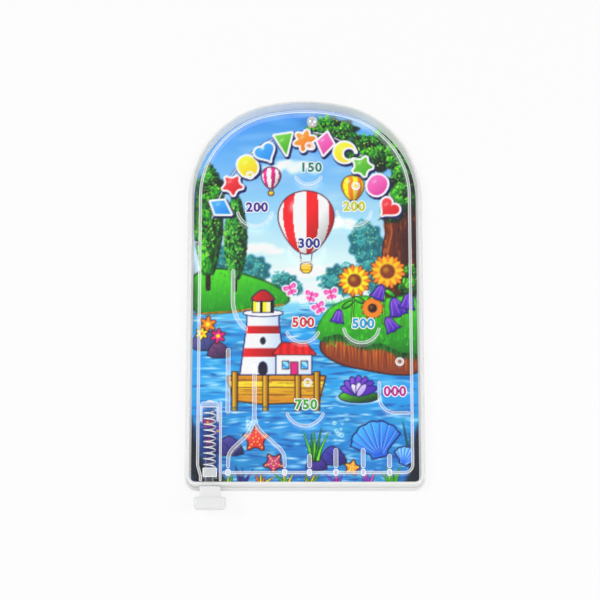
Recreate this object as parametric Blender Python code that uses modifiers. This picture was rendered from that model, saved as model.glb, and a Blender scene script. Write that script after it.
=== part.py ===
"""Handheld pinball game: a flat arched case with a clear lid, a printed card under a field of clear
rails, cups and pegs, one steel ball, and a sprung plunger in a channel at the lower left.

The game lies on its back: +Z points out of the window, +Y towards the arched end. The origin is the
middle of the whole object's footprint, at the height of the surface that it lies on.
"""
import math

import bmesh
import bpy
from mathutils import Matrix, Vector

MM = 0.001

# Case
CASE_WIDTH = 100.0 * MM
CASE_LENGTH = 168.0 * MM
TOP_RADIUS = 74.0 * MM
SHOULDER_RADIUS = 42.0 * MM
CORNER_RADIUS = 5.0 * MM
FLOOR_THICKNESS = 1.4 * MM
LIP_THICKNESS = 0.9 * MM
LIP_RISE = 1.4 * MM
TRAY_EDGE = 0.5 * MM
WINDOW_THICKNESS = 1.4 * MM
WALL_THICKNESS = 1.2 * MM
COVER_EDGE = 1.0 * MM
CARD_THICKNESS = 0.4 * MM
PLAY_DEPTH = 7.3 * MM

# Gap between pieces that touch, running gap of what slides, and overrun of every cutter
SEAT_GAP = 0.3 * MM
RUNNING_GAP = 0.3 * MM
OVERRUN = 1.0 * MM

# Ribs of the playfield
RAIL_THICKNESS = 1.15 * MM
RAIL_INSET = 5.7 * MM
RAIL_BOTTOM_INSET = 6.3 * MM
RAIL_CORNER = 3.4 * MM
RAIL_FOOT_SHIFT = 1.3 * MM
RAIL_FOOT_FALL = 4.6 * MM
RAIL_FOOT_DROP = 1.6 * MM
POST_DIAMETER = 3.0 * MM
BAR_THICKNESS = 1.8 * MM
GUIDE_THICKNESS = 1.7 * MM
CUP_THICKNESS = 1.3 * MM
DIVIDER_THICKNESS = 1.9 * MM
TIE_THICKNESS = 0.6 * MM
RIB_EDGE = 0.18 * MM

# Launch lane
CHANNEL_WIDTH = 8.3 * MM
POCKET_THICKNESS = 1.0 * MM
LAUNCH_LANE_WIDTH = 10.8 * MM
POCKET_LENGTH = 33.3 * MM
LANE_BAR_LENGTH = 27.6 * MM
LANE_BAR_RISE = 5.0 * MM
GUIDE_STRAIGHT = 12.9 * MM
GUIDE_BEND_RADIUS = 15.7 * MM
GUIDE_BEND = math.radians(49)
GUIDE_RISE = 20.2 * MM

# Centre funnel
LONG_RAIL_LENGTH = 22.4 * MM
BRANCH_THICKNESS = 1.5 * MM
BRANCH_FOOT_RADIUS = 6.6 * MM
BRANCH_HEIGHT = 21.0 * MM
LEFT_SLOPE = math.radians(46)
LEFT_TOP_RADIUS = 12.4 * MM
RIGHT_SLOPE = math.radians(48)
RIGHT_TOP_RADIUS = 9.2 * MM

# Pegs
PEG_DIAMETER = 3.7 * MM
PEG_TIP_DIAMETER = 3.3 * MM
PEG_BORE = 1.6 * MM
PEG_BORE_DEPTH = 5.2 * MM
PEG_EDGE = 0.25 * MM

# Scoop on the right rail
SCOOP_REACH = 12.9 * MM
SCOOP_RADIUS = 6.6 * MM
SCOOP_HEIGHT = 12.8 * MM

# Plunger
ROD_DIAMETER = 3.6 * MM
HEAD_LENGTH = 8.4 * MM
HEAD_WEB = 2.4 * MM
HEAD_ARM = 0.9 * MM
HEAD_CORNER = 1.4 * MM
HEAD_EDGE = 0.3 * MM
NOSE_DIAMETER = 3.4 * MM
NOSE_REACH = 1.2 * MM
STEM_WIDTH = 8.5 * MM
STEM_HEIGHT = 5.6 * MM
STEM_SHOW = 3.6 * MM
STEM_EDGE = 0.6 * MM
KNOB_WIDTH = 13.2 * MM
KNOB_HEIGHT = 7.4 * MM
KNOB_LENGTH = 4.8 * MM
KNOB_EDGE = 1.1 * MM
KNOB_BORE_DEPTH = 5.4 * MM
KNOB_OFFSET = 0.45 * MM
SEAT_WIDTH = 5.8 * MM
SEAT_LENGTH = 3.8 * MM
SEAT_EDGE = 0.3 * MM
SEAT_TO_WALL = 1.8 * MM
WALL_NOTCH_GAP = 0.9 * MM

# Spring
WIRE_DIAMETER = 0.5 * MM
SPRING_DIAMETER = 5.4 * MM
SPRING_TURNS = 10
POINTS_PER_TURN = 10
LEAST_COIL_GAP = 0.4 * MM

# Ball
BALL_DIAMETER = 5.0 * MM
BALL_ANGLE = math.radians(2.8)
BALL_MERIDIANS = 24
BALL_RINGS = 14

# Facets: the widest angle that one straight stretch of an arc may turn
WIDE_FACET = math.radians(5.0)
SMALL_FACET = math.radians(12.0)
END_FACET = math.radians(36.0)
ROUND_SIDES = 24
EDGE_ANGLE = math.radians(50.0)
FLAT_ANGLE = math.radians(0.01)
WELD = 0.001 * MM

# Where things stand on the field. The first number is a share of the half width between the side
# rails, from the middle, and the second a share of the height from the bottom rail to the arch.
# A cup's place is the middle of its bowl's underside, with its half width and depth in real sizes.
CUP_PLACE_SHARES = {
    "cup_200": (-0.485, 0.675),
    "cup_150": (0.033, 0.794),
    "cup_200_300": (0.477, 0.676),
    "cup_300": (0.018, 0.573),
    "cup_500_left": (-0.023, 0.350),
    "cup_500_right": (0.539, 0.349),
    "cup_750": (0.001, 0.122),
}
CUP_SIZES = {
    "cup_200": (7.2 * MM, 5.8 * MM),
    "cup_150": (5.3 * MM, 3.1 * MM),
    "cup_200_300": (7.2 * MM, 6.1 * MM),
    "cup_300": (7.5 * MM, 6.2 * MM),
    "cup_500_left": (6.5 * MM, 4.1 * MM),
    "cup_500_right": (7.3 * MM, 5.8 * MM),
    "cup_750": (7.4 * MM, 5.0 * MM),
}
PEG_PLACE_SHARES = [
    (0.039, 0.904),
    (-0.533, 0.820),
    (0.494, 0.789),
    (-0.025, 0.469),
    (0.025, 0.240),
    (0.901, 0.297),
]
SCOOP_HEIGHT_SHARE = 0.157
TIE_HEIGHT_SHARE = 0.629

# Shares of the bottom's width, from the pocket wall to the right rail
FUNNEL_PLACE_SHARE = 0.1767
LEFT_SPREAD_SHARE = 0.1360
RIGHT_SPREAD_SHARE = 0.1602
DIVIDER_PLACE_SHARES = (0.4669, 0.6053, 0.7482, 0.8860)
DIVIDER_LENGTHS = (5.9 * MM, 8.4 * MM, 8.4 * MM, 5.9 * MM)

# Heights that follow from the sizes above
CARD_LOW = FLOOR_THICKNESS + SEAT_GAP
CARD_TOP = CARD_LOW + CARD_THICKNESS
WINDOW_LOW = CARD_TOP + PLAY_DEPTH
CASE_HEIGHT = WINDOW_LOW + WINDOW_THICKNESS
RIB_LOW = CARD_TOP + SEAT_GAP
RIB_TOP = WINDOW_LOW - SEAT_GAP
PLUNGER_HEIGHT = (CARD_TOP + WINDOW_LOW) / 2

# Plan places that follow from the sizes above
COVER_INSET = LIP_THICKNESS + SEAT_GAP
CARD_INSET = COVER_INSET + WALL_THICKNESS + SEAT_GAP
REACH = STEM_SHOW + KNOB_LENGTH
CASE_BOTTOM = (REACH - CASE_LENGTH) / 2
CASE_TOP = CASE_BOTTOM + CASE_LENGTH
WALL_FACE = CASE_BOTTOM + CARD_INSET
FIELD_HALF_WIDTH = CASE_WIDTH / 2 - RAIL_INSET - RAIL_THICKNESS / 2
FIELD_BOTTOM = CASE_BOTTOM + RAIL_BOTTOM_INSET + RAIL_THICKNESS / 2
FIELD_HEIGHT = CASE_TOP - RAIL_INSET - RAIL_THICKNESS / 2 - FIELD_BOTTOM
PLUNGER_X = -FIELD_HALF_WIDTH + CHANNEL_WIDTH / 2
POCKET_X = -FIELD_HALF_WIDTH + CHANNEL_WIDTH + POCKET_THICKNESS / 2
BOTTOM_WIDTH = FIELD_HALF_WIDTH - POCKET_X
FUNNEL_X = POCKET_X + FUNNEL_PLACE_SHARE * BOTTOM_WIDTH
LEFT_SPREAD = LEFT_SPREAD_SHARE * BOTTOM_WIDTH
RIGHT_SPREAD = RIGHT_SPREAD_SHARE * BOTTOM_WIDTH
FOOT_X = -FIELD_HALF_WIDTH - RAIL_THICKNESS / 2 + RAIL_FOOT_SHIFT
SEAT_X = FOOT_X + RAIL_THICKNESS / 2 + SEAT_GAP + SEAT_WIDTH / 2
STEM_TOP = CASE_BOTTOM + COVER_INSET - SEAT_GAP
SEAT_LOW = WALL_FACE + SEAT_TO_WALL
SEAT_TOP = SEAT_LOW + SEAT_LENGTH
HEAD_TOP = WALL_FACE + POCKET_LENGTH
HEAD_WIDTH = CHANNEL_WIDTH - 2 * RUNNING_GAP
ARCH_CENTRE = CASE_TOP - TOP_RADIUS
BALL_PATH_RADIUS = TOP_RADIUS - RAIL_INSET - RAIL_THICKNESS / 2 - SEAT_GAP - BALL_DIAMETER / 2

# Colours: (red, green, blue, alpha), roughness, metallic
FINISHES = {
    "clear_plastic": ((0.86, 0.89, 0.90, 0.35), 0.08, 0.0),
    "rib_plastic": ((0.82, 0.88, 0.92, 0.45), 0.12, 0.0),
    "milky_plastic": ((0.80, 0.81, 0.81, 1.0), 0.35, 0.0),
    "printed_board": ((0.16, 0.48, 0.80, 1.0), 0.45, 0.0),
    "plunger_plastic": ((0.78, 0.80, 0.80, 1.0), 0.30, 0.0),
    "spring_wire": ((0.62, 0.62, 0.63, 1.0), 0.25, 1.0),
    "chromed_steel": ((0.85, 0.85, 0.86, 1.0), 0.06, 1.0),
}


def clear_scene():
    for thing in list(bpy.data.objects):
        bpy.data.objects.remove(thing, do_unlink=True)
    for collection in list(bpy.data.collections):
        bpy.data.collections.remove(collection)


def new_collection(name):
    collection = bpy.data.collections.new(name)
    bpy.context.scene.collection.children.link(collection)
    return collection


def finish(name, kind):
    """A material of its own for each sub-part, with the finish of its kind."""
    colour, roughness, metallic = FINISHES[kind]
    material = bpy.data.materials.new(f"{name}_{kind}")
    material.use_nodes = True
    shader = material.node_tree.nodes["Principled BSDF"]
    shader.inputs["Base Color"].default_value = (*colour[:3], 1.0)
    shader.inputs["Alpha"].default_value = colour[3]
    shader.inputs["Roughness"].default_value = roughness
    shader.inputs["Metallic"].default_value = metallic
    material.diffuse_color = colour
    return material


def add_part(name, mesh, kind, place=(0, 0, 0)):
    mesh.shade_smooth()
    mesh.set_sharp_from_angle(angle=EDGE_ANGLE)
    part = bpy.data.objects.new(name, mesh)
    part.location = place
    part.data.materials.append(finish(name, kind))
    PARTS.objects.link(part)
    return part


def add_cutter(name, mesh, place=(0, 0, 0)):
    cutter = bpy.data.objects.new(name, mesh)
    cutter.location = place
    cutter.hide_render = True
    cutter.display_type = "WIRE"
    CUTTERS.objects.link(cutter)
    return cutter


def combine(part, other, operation):
    boolean = part.modifiers.new(other.name, "BOOLEAN")
    boolean.operation = operation
    boolean.solver = "EXACT"
    boolean.object = other


def bevel(part, width, segments):
    """Rounds the edges that turn more than the edge angle, so a facet's edge stays."""
    rounding = part.modifiers.new("rounded_edges", "BEVEL")
    rounding.width = width
    rounding.segments = segments
    rounding.limit_method = "ANGLE"
    rounding.angle_limit = EDGE_ANGLE
    return rounding


def bevel_top(part, height, width, segments):
    """Rounds only the rim that lies at a height, and leaves the lower rim square."""
    bm = bmesh.new()
    bm.from_mesh(part.data)
    weight = bm.edges.layers.float.new("bevel_weight_edge")
    for edge in bm.edges:
        high = min(corner.co.z for corner in edge.verts) > height - WELD
        edge[weight] = float(high and edge.calc_face_angle() > EDGE_ANGLE)
    bm.to_mesh(part.data)
    bm.free()
    bevel(part, width, segments).limit_method = "WEIGHT"


def mesh_from(bm, name):
    bmesh.ops.recalc_face_normals(bm, faces=bm.faces)
    mesh = bpy.data.meshes.new(name)
    bm.to_mesh(mesh)
    bm.free()
    return mesh


def curve_mesh(curve, name):
    """The evaluated curve as a welded mesh with whole flat faces; the curve itself is removed."""
    thing = bpy.data.objects.new(name, curve)
    bpy.context.scene.collection.objects.link(thing)
    evaluated = thing.evaluated_get(bpy.context.evaluated_depsgraph_get())
    raw = bpy.data.meshes.new_from_object(evaluated)
    bm = bmesh.new()
    bm.from_mesh(raw)
    bmesh.ops.remove_doubles(bm, verts=bm.verts, dist=WELD)
    flat = [edge for edge in bm.edges if edge.calc_face_angle() < FLAT_ANGLE]
    bmesh.ops.dissolve_edges(bm, edges=flat, use_verts=False)
    bpy.data.objects.remove(thing, do_unlink=True)
    bpy.data.curves.remove(curve)
    bpy.data.meshes.remove(raw)
    return mesh_from(bm, name)


def outline_mesh(name, loops, low, high):
    """A flat outline, with any further loops as holes, made solid from low to high."""
    curve = bpy.data.curves.new(name, "CURVE")
    curve.dimensions = "2D"
    curve.fill_mode = "BOTH"
    curve.extrude = (high - low) / 2
    for loop in loops:
        spline = curve.splines.new("POLY")
        spline.points.add(len(loop) - 1)
        for point, (x, y) in zip(spline.points, loop):
            point.co = (x, y, 0, 1)
        spline.use_cyclic_u = True
    mesh = curve_mesh(curve, name)
    mesh.transform(shift(0, 0, (low + high) / 2))
    return mesh


def shift(x, y, z):
    return Matrix.Translation((x, y, z))


def arc(centre, radius, start, end, facet):
    """Points along an arc, both ends included, with no stretch turning more than a facet."""
    steps = max(1, math.ceil(abs(end - start) / facet - WELD))
    turns = [start + (end - start) * step / steps for step in range(steps + 1)]
    return [(centre[0] + radius * math.cos(t), centre[1] + radius * math.sin(t)) for t in turns]


def without_repeats(points):
    kept = [points[0]]
    for point in points[1:]:
        if math.dist(point, kept[-1]) > WELD:
            kept.append(point)
    return kept


def arch_curve(inset):
    """The case's arch, from the right side over the top to the left, moved inwards by an inset."""
    shoulder = min(SHOULDER_RADIUS, CASE_WIDTH / 2)
    lean = CASE_WIDTH / 2 - shoulder
    rise = math.sqrt((TOP_RADIUS - shoulder) ** 2 - lean**2)
    turn = math.atan2(lean, rise)
    shoulder_y = ARCH_CENTRE + rise
    quarter = math.pi / 2
    right = arc((lean, shoulder_y), shoulder - inset, 0, quarter - turn, WIDE_FACET)
    crown = arc((0, ARCH_CENTRE), TOP_RADIUS - inset, quarter - turn, quarter + turn, WIDE_FACET)
    left = arc((-lean, shoulder_y), shoulder - inset, quarter + turn, math.pi, WIDE_FACET)
    return without_repeats(right + crown + left)


def case_outline(inset, corner):
    """The closed outline of the case, counter-clockwise from its lower left corner."""
    half = CASE_WIDTH / 2 - inset
    bottom = CASE_BOTTOM + inset
    low = -math.pi / 2
    left = arc((corner - half, bottom + corner), corner, -math.pi, low, SMALL_FACET)
    right = arc((half - corner, bottom + corner), corner, low, 0, SMALL_FACET)
    return without_repeats(left + right + arch_curve(inset))


def band(path, thickness):
    """The outline of a rib with round ends that follows a path."""
    half = thickness / 2
    points = [Vector(point) for point in path]
    tangents = []
    for index in range(len(points)):
        before = points[max(index - 1, 0)]
        after = points[min(index + 1, len(points) - 1)]
        tangents.append((after - before).normalized())
    left = []
    right = []
    for point, tangent in zip(points, tangents):
        side = Vector((-tangent.y, tangent.x)) * half
        left.append(tuple(point + side))
        right.append(tuple(point - side))
    ahead = math.atan2(tangents[-1].y, tangents[-1].x)
    behind = math.atan2(tangents[0].y, tangents[0].x) + math.pi
    quarter = math.pi / 2
    nose = arc(points[-1], half, ahead - quarter, ahead + quarter, END_FACET)
    tail = arc(points[0], half, behind - quarter, behind + quarter, END_FACET)
    return without_repeats(right + nose[1:-1] + left[::-1] + tail[1:-1])


def rib_mesh(name, path, thickness):
    return outline_mesh(name, [band(path, thickness)], RIB_LOW, RIB_TOP)


def rib(name, path, thickness, place=(0, 0, 0)):
    part = add_part(name, rib_mesh(name, path, thickness), "rib_plastic", place)
    bevel(part, RIB_EDGE, 1)
    return part


def field_place(shares):
    return shares[0] * FIELD_HALF_WIDTH, FIELD_BOTTOM + shares[1] * FIELD_HEIGHT


def divider_places():
    return [POCKET_X + share * BOTTOM_WIDTH for share in DIVIDER_PLACE_SHARES]


def box_mesh(name, width, length, height):
    bm = bmesh.new()
    bmesh.ops.create_cube(bm, size=1)
    bmesh.ops.scale(bm, vec=(width, length, height), verts=bm.verts)
    return mesh_from(bm, name)


def rod_mesh(name, diameter, length):
    """A cylinder along Y, with its middle at the origin."""
    bm = bmesh.new()
    bmesh.ops.create_cone(
        bm,
        cap_ends=True,
        segments=ROUND_SIDES,
        radius1=diameter / 2,
        radius2=diameter / 2,
        depth=length,
    )
    bmesh.ops.rotate(bm, matrix=Matrix.Rotation(math.pi / 2, 3, "X"), verts=bm.verts)
    return mesh_from(bm, name)


def rod_notch(part, name, low, length, gap):
    """A notch from the part's back edge that the plunger's rod lies in, as it can be moulded."""
    width = ROD_DIAMETER + 2 * gap
    top = PLUNGER_HEIGHT + width / 2
    bottom = CARD_LOW - OVERRUN
    mesh = box_mesh(name, width, length + 2 * OVERRUN, top - bottom)
    place = (PLUNGER_X, low + length / 2, (top + bottom) / 2)
    combine(part, add_cutter(name, mesh, place), "DIFFERENCE")


def back_tray():
    height = FLOOR_THICKNESS + LIP_RISE
    mesh = outline_mesh("back_tray", [case_outline(0, CORNER_RADIUS)], 0, height)
    tray = add_part("back_tray", mesh, "milky_plastic")
    bevel(tray, TRAY_EDGE, 2)
    corner = max(CORNER_RADIUS - LIP_THICKNESS, LIP_THICKNESS)
    inside = case_outline(LIP_THICKNESS, corner)
    hollow = outline_mesh("tray_hollow", [inside], FLOOR_THICKNESS, height + OVERRUN)
    combine(tray, add_cutter("tray_hollow", hollow), "DIFFERENCE")


def printed_card():
    corner = max(CORNER_RADIUS - CARD_INSET, CARD_THICKNESS)
    mesh = outline_mesh("printed_card", [case_outline(CARD_INSET, corner)], CARD_LOW, CARD_TOP)
    add_part("printed_card", mesh, "printed_board")


def front_cover():
    """A lid: window and side wall in one, hollowed from below and notched for the plunger's rod."""
    corner = max(CORNER_RADIUS - COVER_INSET, WALL_THICKNESS)
    outside = case_outline(COVER_INSET, corner)
    mesh = outline_mesh("front_cover", [outside], CARD_LOW, CASE_HEIGHT)
    cover = add_part("front_cover", mesh, "clear_plastic")
    bevel_top(cover, CASE_HEIGHT, COVER_EDGE, 3)
    face = COVER_INSET + WALL_THICKNESS
    inside = case_outline(face, max(CORNER_RADIUS - face, WALL_THICKNESS))
    hollow = outline_mesh("cover_hollow", [inside], CARD_LOW - OVERRUN, WINDOW_LOW)
    combine(cover, add_cutter("cover_hollow", hollow), "DIFFERENCE")
    rod_notch(cover, "cover_notch", CASE_BOTTOM + COVER_INSET, WALL_THICKNESS, WALL_NOTCH_GAP)


def guide_rail():
    """The ball's outer guide, with a post under each leg and divider and a tie to the case wall."""
    half = CASE_WIDTH / 2 - RAIL_INSET
    low = CASE_BOTTOM + RAIL_BOTTOM_INSET
    start = POCKET_X + (POCKET_THICKNESS + RAIL_THICKNESS) / 2 + SEAT_GAP
    corner = arc((half - RAIL_CORNER, low + RAIL_CORNER), RAIL_CORNER, -math.pi / 2, 0, SMALL_FACET)
    foot_low = WALL_FACE + RAIL_THICKNESS / 2
    foot_top = foot_low + RAIL_FOOT_DROP
    foot = [(-half, foot_top + RAIL_FOOT_FALL), (FOOT_X, foot_top), (FOOT_X, foot_low)]
    path = [(start, low)] + corner + arch_curve(RAIL_INSET) + foot
    rail = rib("guide_rail", without_repeats(path), RAIL_THICKNESS)
    legs = [FUNNEL_X - LEFT_SPREAD, FUNNEL_X + RIGHT_SPREAD]
    for index, x in enumerate(legs + divider_places()):
        loop = arc((0, 0), POST_DIAMETER / 2, 0, 2 * math.pi, END_FACET)[:-1]
        post = outline_mesh(f"rail_post_{index + 1}", [loop], RIB_LOW, RIB_TOP)
        combine(rail, add_cutter(f"rail_post_{index + 1}", post, (x, low, 0)), "UNION")
    tie_length = CASE_WIDTH / 2 - CARD_INSET - half
    tie = box_mesh("rail_tie", tie_length, TIE_THICKNESS, RIB_TOP - RIB_LOW)
    place = (-half - tie_length / 2, field_place((0, TIE_HEIGHT_SHARE))[1], PLUNGER_HEIGHT)
    combine(rail, add_cutter("rail_tie", tie, place), "UNION")


def straight_rib(name, x, low, high, thickness):
    """A rib along Y from low to high, round ends included."""
    half = thickness / 2
    return rib(name, [(0, low + half), (0, high - half)], thickness, (x, 0, 0))


def launch_lane():
    """The walls that lead the ball from the plunger to the arch."""
    straight_rib("pocket_wall", POCKET_X, WALL_FACE, HEAD_TOP, POCKET_THICKNESS)
    bar_x = -FIELD_HALF_WIDTH + LAUNCH_LANE_WIDTH + BAR_THICKNESS / 2
    bar_low = HEAD_TOP - LANE_BAR_RISE
    straight_rib("lane_bar", bar_x, bar_low, bar_low + LANE_BAR_LENGTH, BAR_THICKNESS)
    guide_x = bar_x + BAR_THICKNESS
    guide_low = bar_low + LANE_BAR_LENGTH + GUIDE_RISE
    centre = (GUIDE_BEND_RADIUS, 0)
    bend = arc(centre, GUIDE_BEND_RADIUS, math.pi, math.pi + GUIDE_BEND, SMALL_FACET)
    rib("launch_guide", [(0, GUIDE_STRAIGHT)] + bend, GUIDE_THICKNESS, (guide_x, guide_low, 0))


def branch_path(side, spread, slope, top_radius):
    """One branch of the funnel from the long rail's foot: out, down a slope, and down a leg."""
    start = max(BAR_THICKNESS - BRANCH_THICKNESS, 0) / 2
    bends = (top_radius + BRANCH_FOOT_RADIUS) * (1 - math.cos(slope))
    run = (spread - start - bends) / math.sin(slope)
    out = arc((start + top_radius, 0), top_radius, math.pi, math.pi + slope, SMALL_FACET)
    low = out[-1][1] - run * math.cos(slope) - BRANCH_FOOT_RADIUS * math.sin(slope)
    foot = arc((spread - BRANCH_FOOT_RADIUS, low), BRANCH_FOOT_RADIUS, slope, 0, SMALL_FACET)
    path = [(start, BRANCH_THICKNESS)] + out + foot + [(spread, -BRANCH_HEIGHT)]
    return [(side * x, y) for x, y in without_repeats(path)]


def centre_funnel():
    """The long rail and its two branches, joined where they part."""
    post_top = CASE_BOTTOM + RAIL_BOTTOM_INSET + POST_DIAMETER / 2
    part_y = post_top + SEAT_GAP + BRANCH_THICKNESS / 2 + BRANCH_HEIGHT
    place = (FUNNEL_X, part_y, 0)
    spine = [(0, -BAR_THICKNESS / 2), (0, LONG_RAIL_LENGTH)]
    funnel = rib("centre_funnel", spine, BAR_THICKNESS, place)
    left = branch_path(-1, LEFT_SPREAD, LEFT_SLOPE, LEFT_TOP_RADIUS)
    right = branch_path(1, RIGHT_SPREAD, RIGHT_SLOPE, RIGHT_TOP_RADIUS)
    for name, path in (("left_branch", left), ("right_branch", right)):
        branch = add_cutter(name, rib_mesh(name, path, BRANCH_THICKNESS), place)
        bevel(branch, RIB_EDGE, 1)
        combine(funnel, branch, "UNION")


def slot_dividers():
    low = CASE_BOTTOM + RAIL_BOTTOM_INSET + POST_DIAMETER / 2 + SEAT_GAP
    for index, (x, length) in enumerate(zip(divider_places(), DIVIDER_LENGTHS)):
        straight_rib(f"slot_divider_{index + 1}", x, low, low + length, DIVIDER_THICKNESS)


def cups():
    """Each cup is one arc, as wide and deep as its size says."""
    for name, shares in CUP_PLACE_SHARES.items():
        half_width, depth = CUP_SIZES[name]
        radius = (half_width**2 + depth**2) / (2 * depth)
        reach = math.atan2(half_width, radius - depth)
        low = -math.pi / 2
        bowl = arc((0, radius), radius, low - reach, low + reach, SMALL_FACET)
        rib(name, bowl, CUP_THICKNESS, (*field_place(shares), 0))


def side_scoop():
    """A J from the right rail: out level, round, and up to a free tip."""
    root = FIELD_HALF_WIDTH - SEAT_GAP - CUP_THICKNESS / 2
    left = FIELD_HALF_WIDTH - SCOOP_REACH
    low = -math.pi / 2
    bend = arc((left + SCOOP_RADIUS, SCOOP_RADIUS), SCOOP_RADIUS, low, -math.pi, SMALL_FACET)
    place = (0, FIELD_BOTTOM + SCOOP_HEIGHT_SHARE * FIELD_HEIGHT, 0)
    rib("side_scoop", [(root, 0)] + bend + [(left, SCOOP_HEIGHT)], CUP_THICKNESS, place)


def screw_mesh(name, profile):
    """A turned mesh: the profile's points at +X, spun about Z."""
    bm = bmesh.new()
    corners = [bm.verts.new((x, 0, z)) for x, z in profile]
    for first, second in zip(corners, corners[1:]):
        bm.edges.new((first, second))
    mesh = bpy.data.meshes.new(name)
    bm.to_mesh(mesh)
    bm.free()
    return mesh


def pegs():
    """Hollow pegs that taper away from the window, each a turned profile."""
    root = PEG_DIAMETER / 2
    tip = PEG_TIP_DIAMETER / 2
    bore = PEG_BORE / 2
    bottom = RIB_TOP - PEG_BORE_DEPTH
    profile = [
        (0, bottom),
        (bore, bottom),
        (bore, RIB_TOP),
        (root - PEG_EDGE, RIB_TOP),
        (root, RIB_TOP - PEG_EDGE),
        (tip, RIB_LOW + PEG_EDGE),
        (tip - PEG_EDGE, RIB_LOW),
        (0, RIB_LOW),
    ]
    for index, shares in enumerate(PEG_PLACE_SHARES):
        name = f"peg_{index + 1}"
        peg = add_part(name, screw_mesh(name, profile), "rib_plastic", (*field_place(shares), 0))
        turn = peg.modifiers.new("turned", "SCREW")
        turn.steps = ROUND_SIDES
        turn.render_steps = ROUND_SIDES
        turn.use_merge_vertices = True
        turn.merge_threshold = WELD
        turn.use_smooth_shade = True


def spring_seat():
    """The block across the channel that carries the spring and guides the rod in its notch."""
    block = box_mesh("spring_seat", SEAT_WIDTH, SEAT_LENGTH, RIB_TOP - RIB_LOW)
    middle = (SEAT_LOW + SEAT_TOP) / 2
    seat = add_part("spring_seat", block, "rib_plastic", (SEAT_X, middle, PLUNGER_HEIGHT))
    bevel(seat, SEAT_EDGE, 2)
    rod_notch(seat, "seat_notch", SEAT_LOW, SEAT_LENGTH, RUNNING_GAP)


def head_outline():
    """The striker head seen from above: a web with round corners, and two arms down from it."""
    half = HEAD_WIDTH / 2
    inner = half - HEAD_ARM
    quarter = math.pi / 2
    centre = half - HEAD_CORNER
    right = arc((centre, -HEAD_CORNER), HEAD_CORNER, 0, quarter, math.radians(22.5))
    left = arc((-centre, -HEAD_CORNER), HEAD_CORNER, quarter, math.pi, math.radians(22.5))
    arms = [(-half, -HEAD_LENGTH), (-inner, -HEAD_LENGTH), (-inner, -HEAD_WEB)]
    return right + left + arms + [(-x, y) for x, y in reversed(arms)]


def plunger_rod(axis):
    """Striker head, nose and rod in one piece, on the plunger's axis."""
    depth = RIB_TOP - RIB_LOW - 2 * RUNNING_GAP
    mesh = outline_mesh("plunger_rod", [head_outline()], -depth / 2, depth / 2)
    rod = add_part("plunger_rod", mesh, "plunger_plastic")
    bevel(rod, HEAD_EDGE, 2)
    shaft_low = STEM_TOP - KNOB_BORE_DEPTH + SEAT_GAP
    shaft_top = HEAD_TOP - HEAD_WEB / 2
    shaft = rod_mesh("shaft", ROD_DIAMETER, shaft_top - shaft_low)
    middle = Vector((0, (shaft_top + shaft_low) / 2 - HEAD_TOP, 0))
    bm = bmesh.new()
    bmesh.ops.create_uvsphere(bm, u_segments=ROUND_SIDES, v_segments=ROUND_SIDES // 2, radius=1)
    reach = (NOSE_DIAMETER / 2, NOSE_REACH, NOSE_DIAMETER / 2)
    bmesh.ops.scale(bm, vec=reach, verts=bm.verts)
    nose = mesh_from(bm, "nose")
    for name, mesh, place in (("shaft", shaft, middle), ("nose", nose, Vector((0, 0, 0)))):
        piece = add_cutter(name, mesh, place)
        piece.parent = axis
        combine(rod, piece, "UNION")
    rod.parent = axis
    return rod


def plunger_knob(axis):
    """Stem and flared pull, bored for the rod's end; the stem's shoulder stops at the case."""
    stem_low = CASE_BOTTOM - STEM_SHOW
    length = STEM_TOP - stem_low + KNOB_LENGTH / 2
    knob = add_part(
        "plunger_knob", box_mesh("plunger_knob", STEM_WIDTH, length, STEM_HEIGHT), "plunger_plastic"
    )
    knob.location = (KNOB_OFFSET, STEM_TOP - length / 2 - HEAD_TOP, 0)
    knob.parent = axis
    bevel(knob, STEM_EDGE, 2)
    pull = add_cutter("pull", box_mesh("pull", KNOB_WIDTH, KNOB_LENGTH, KNOB_HEIGHT))
    pull.location = (KNOB_OFFSET, stem_low - KNOB_LENGTH / 2 - HEAD_TOP, 0)
    pull.parent = axis
    bevel(pull, KNOB_EDGE, 3)
    combine(knob, pull, "UNION")
    depth = KNOB_BORE_DEPTH + OVERRUN
    bore = add_cutter("knob_bore", rod_mesh("knob_bore", ROD_DIAMETER + 2 * SEAT_GAP, depth))
    bore.location = (0, STEM_TOP + OVERRUN - depth / 2 - HEAD_TOP, 0)
    bore.parent = axis
    combine(knob, bore, "DIFFERENCE")
    return knob


def plunger():
    axis = bpy.data.objects.new("plunger_axis", None)
    axis.location = (PLUNGER_X, HEAD_TOP, PLUNGER_HEIGHT)
    PARTS.objects.link(axis)
    plunger_rod(axis)
    plunger_knob(axis)


def coil_points():
    """The spring's centre line from the seat to the head, with a straight end at each side."""
    radius = (SPRING_DIAMETER - WIRE_DIAMETER) / 2
    half = WIRE_DIAMETER / 2
    low = SEAT_TOP + SEAT_GAP + half
    high = HEAD_TOP - HEAD_WEB - SEAT_GAP - half
    steps = SPRING_TURNS * POINTS_PER_TURN
    points = []
    for step in range(steps + 1):
        turn = 2 * math.pi * step / POINTS_PER_TURN
        height = low + (high - low) * step / steps
        points.append(Vector((radius * math.cos(turn), height, radius * math.sin(turn))))
    first = (points[0] - points[1]).normalized()
    last = (points[-1] - points[-2]).normalized()
    flat_first = Vector((first.x, 0, first.z)).normalized() * WIRE_DIAMETER
    flat_last = Vector((last.x, 0, last.z)).normalized() * WIRE_DIAMETER
    return [points[0] + flat_first] + points + [points[-1] + flat_last]


def least_gap(points, diameter):
    """The least gap between the wire and itself, a turn or more along."""
    nearest = min(
        (points[a] - points[b]).length
        for a in range(len(points))
        for b in range(a + POINTS_PER_TURN // 2, len(points))
    )
    return nearest - diameter


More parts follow.
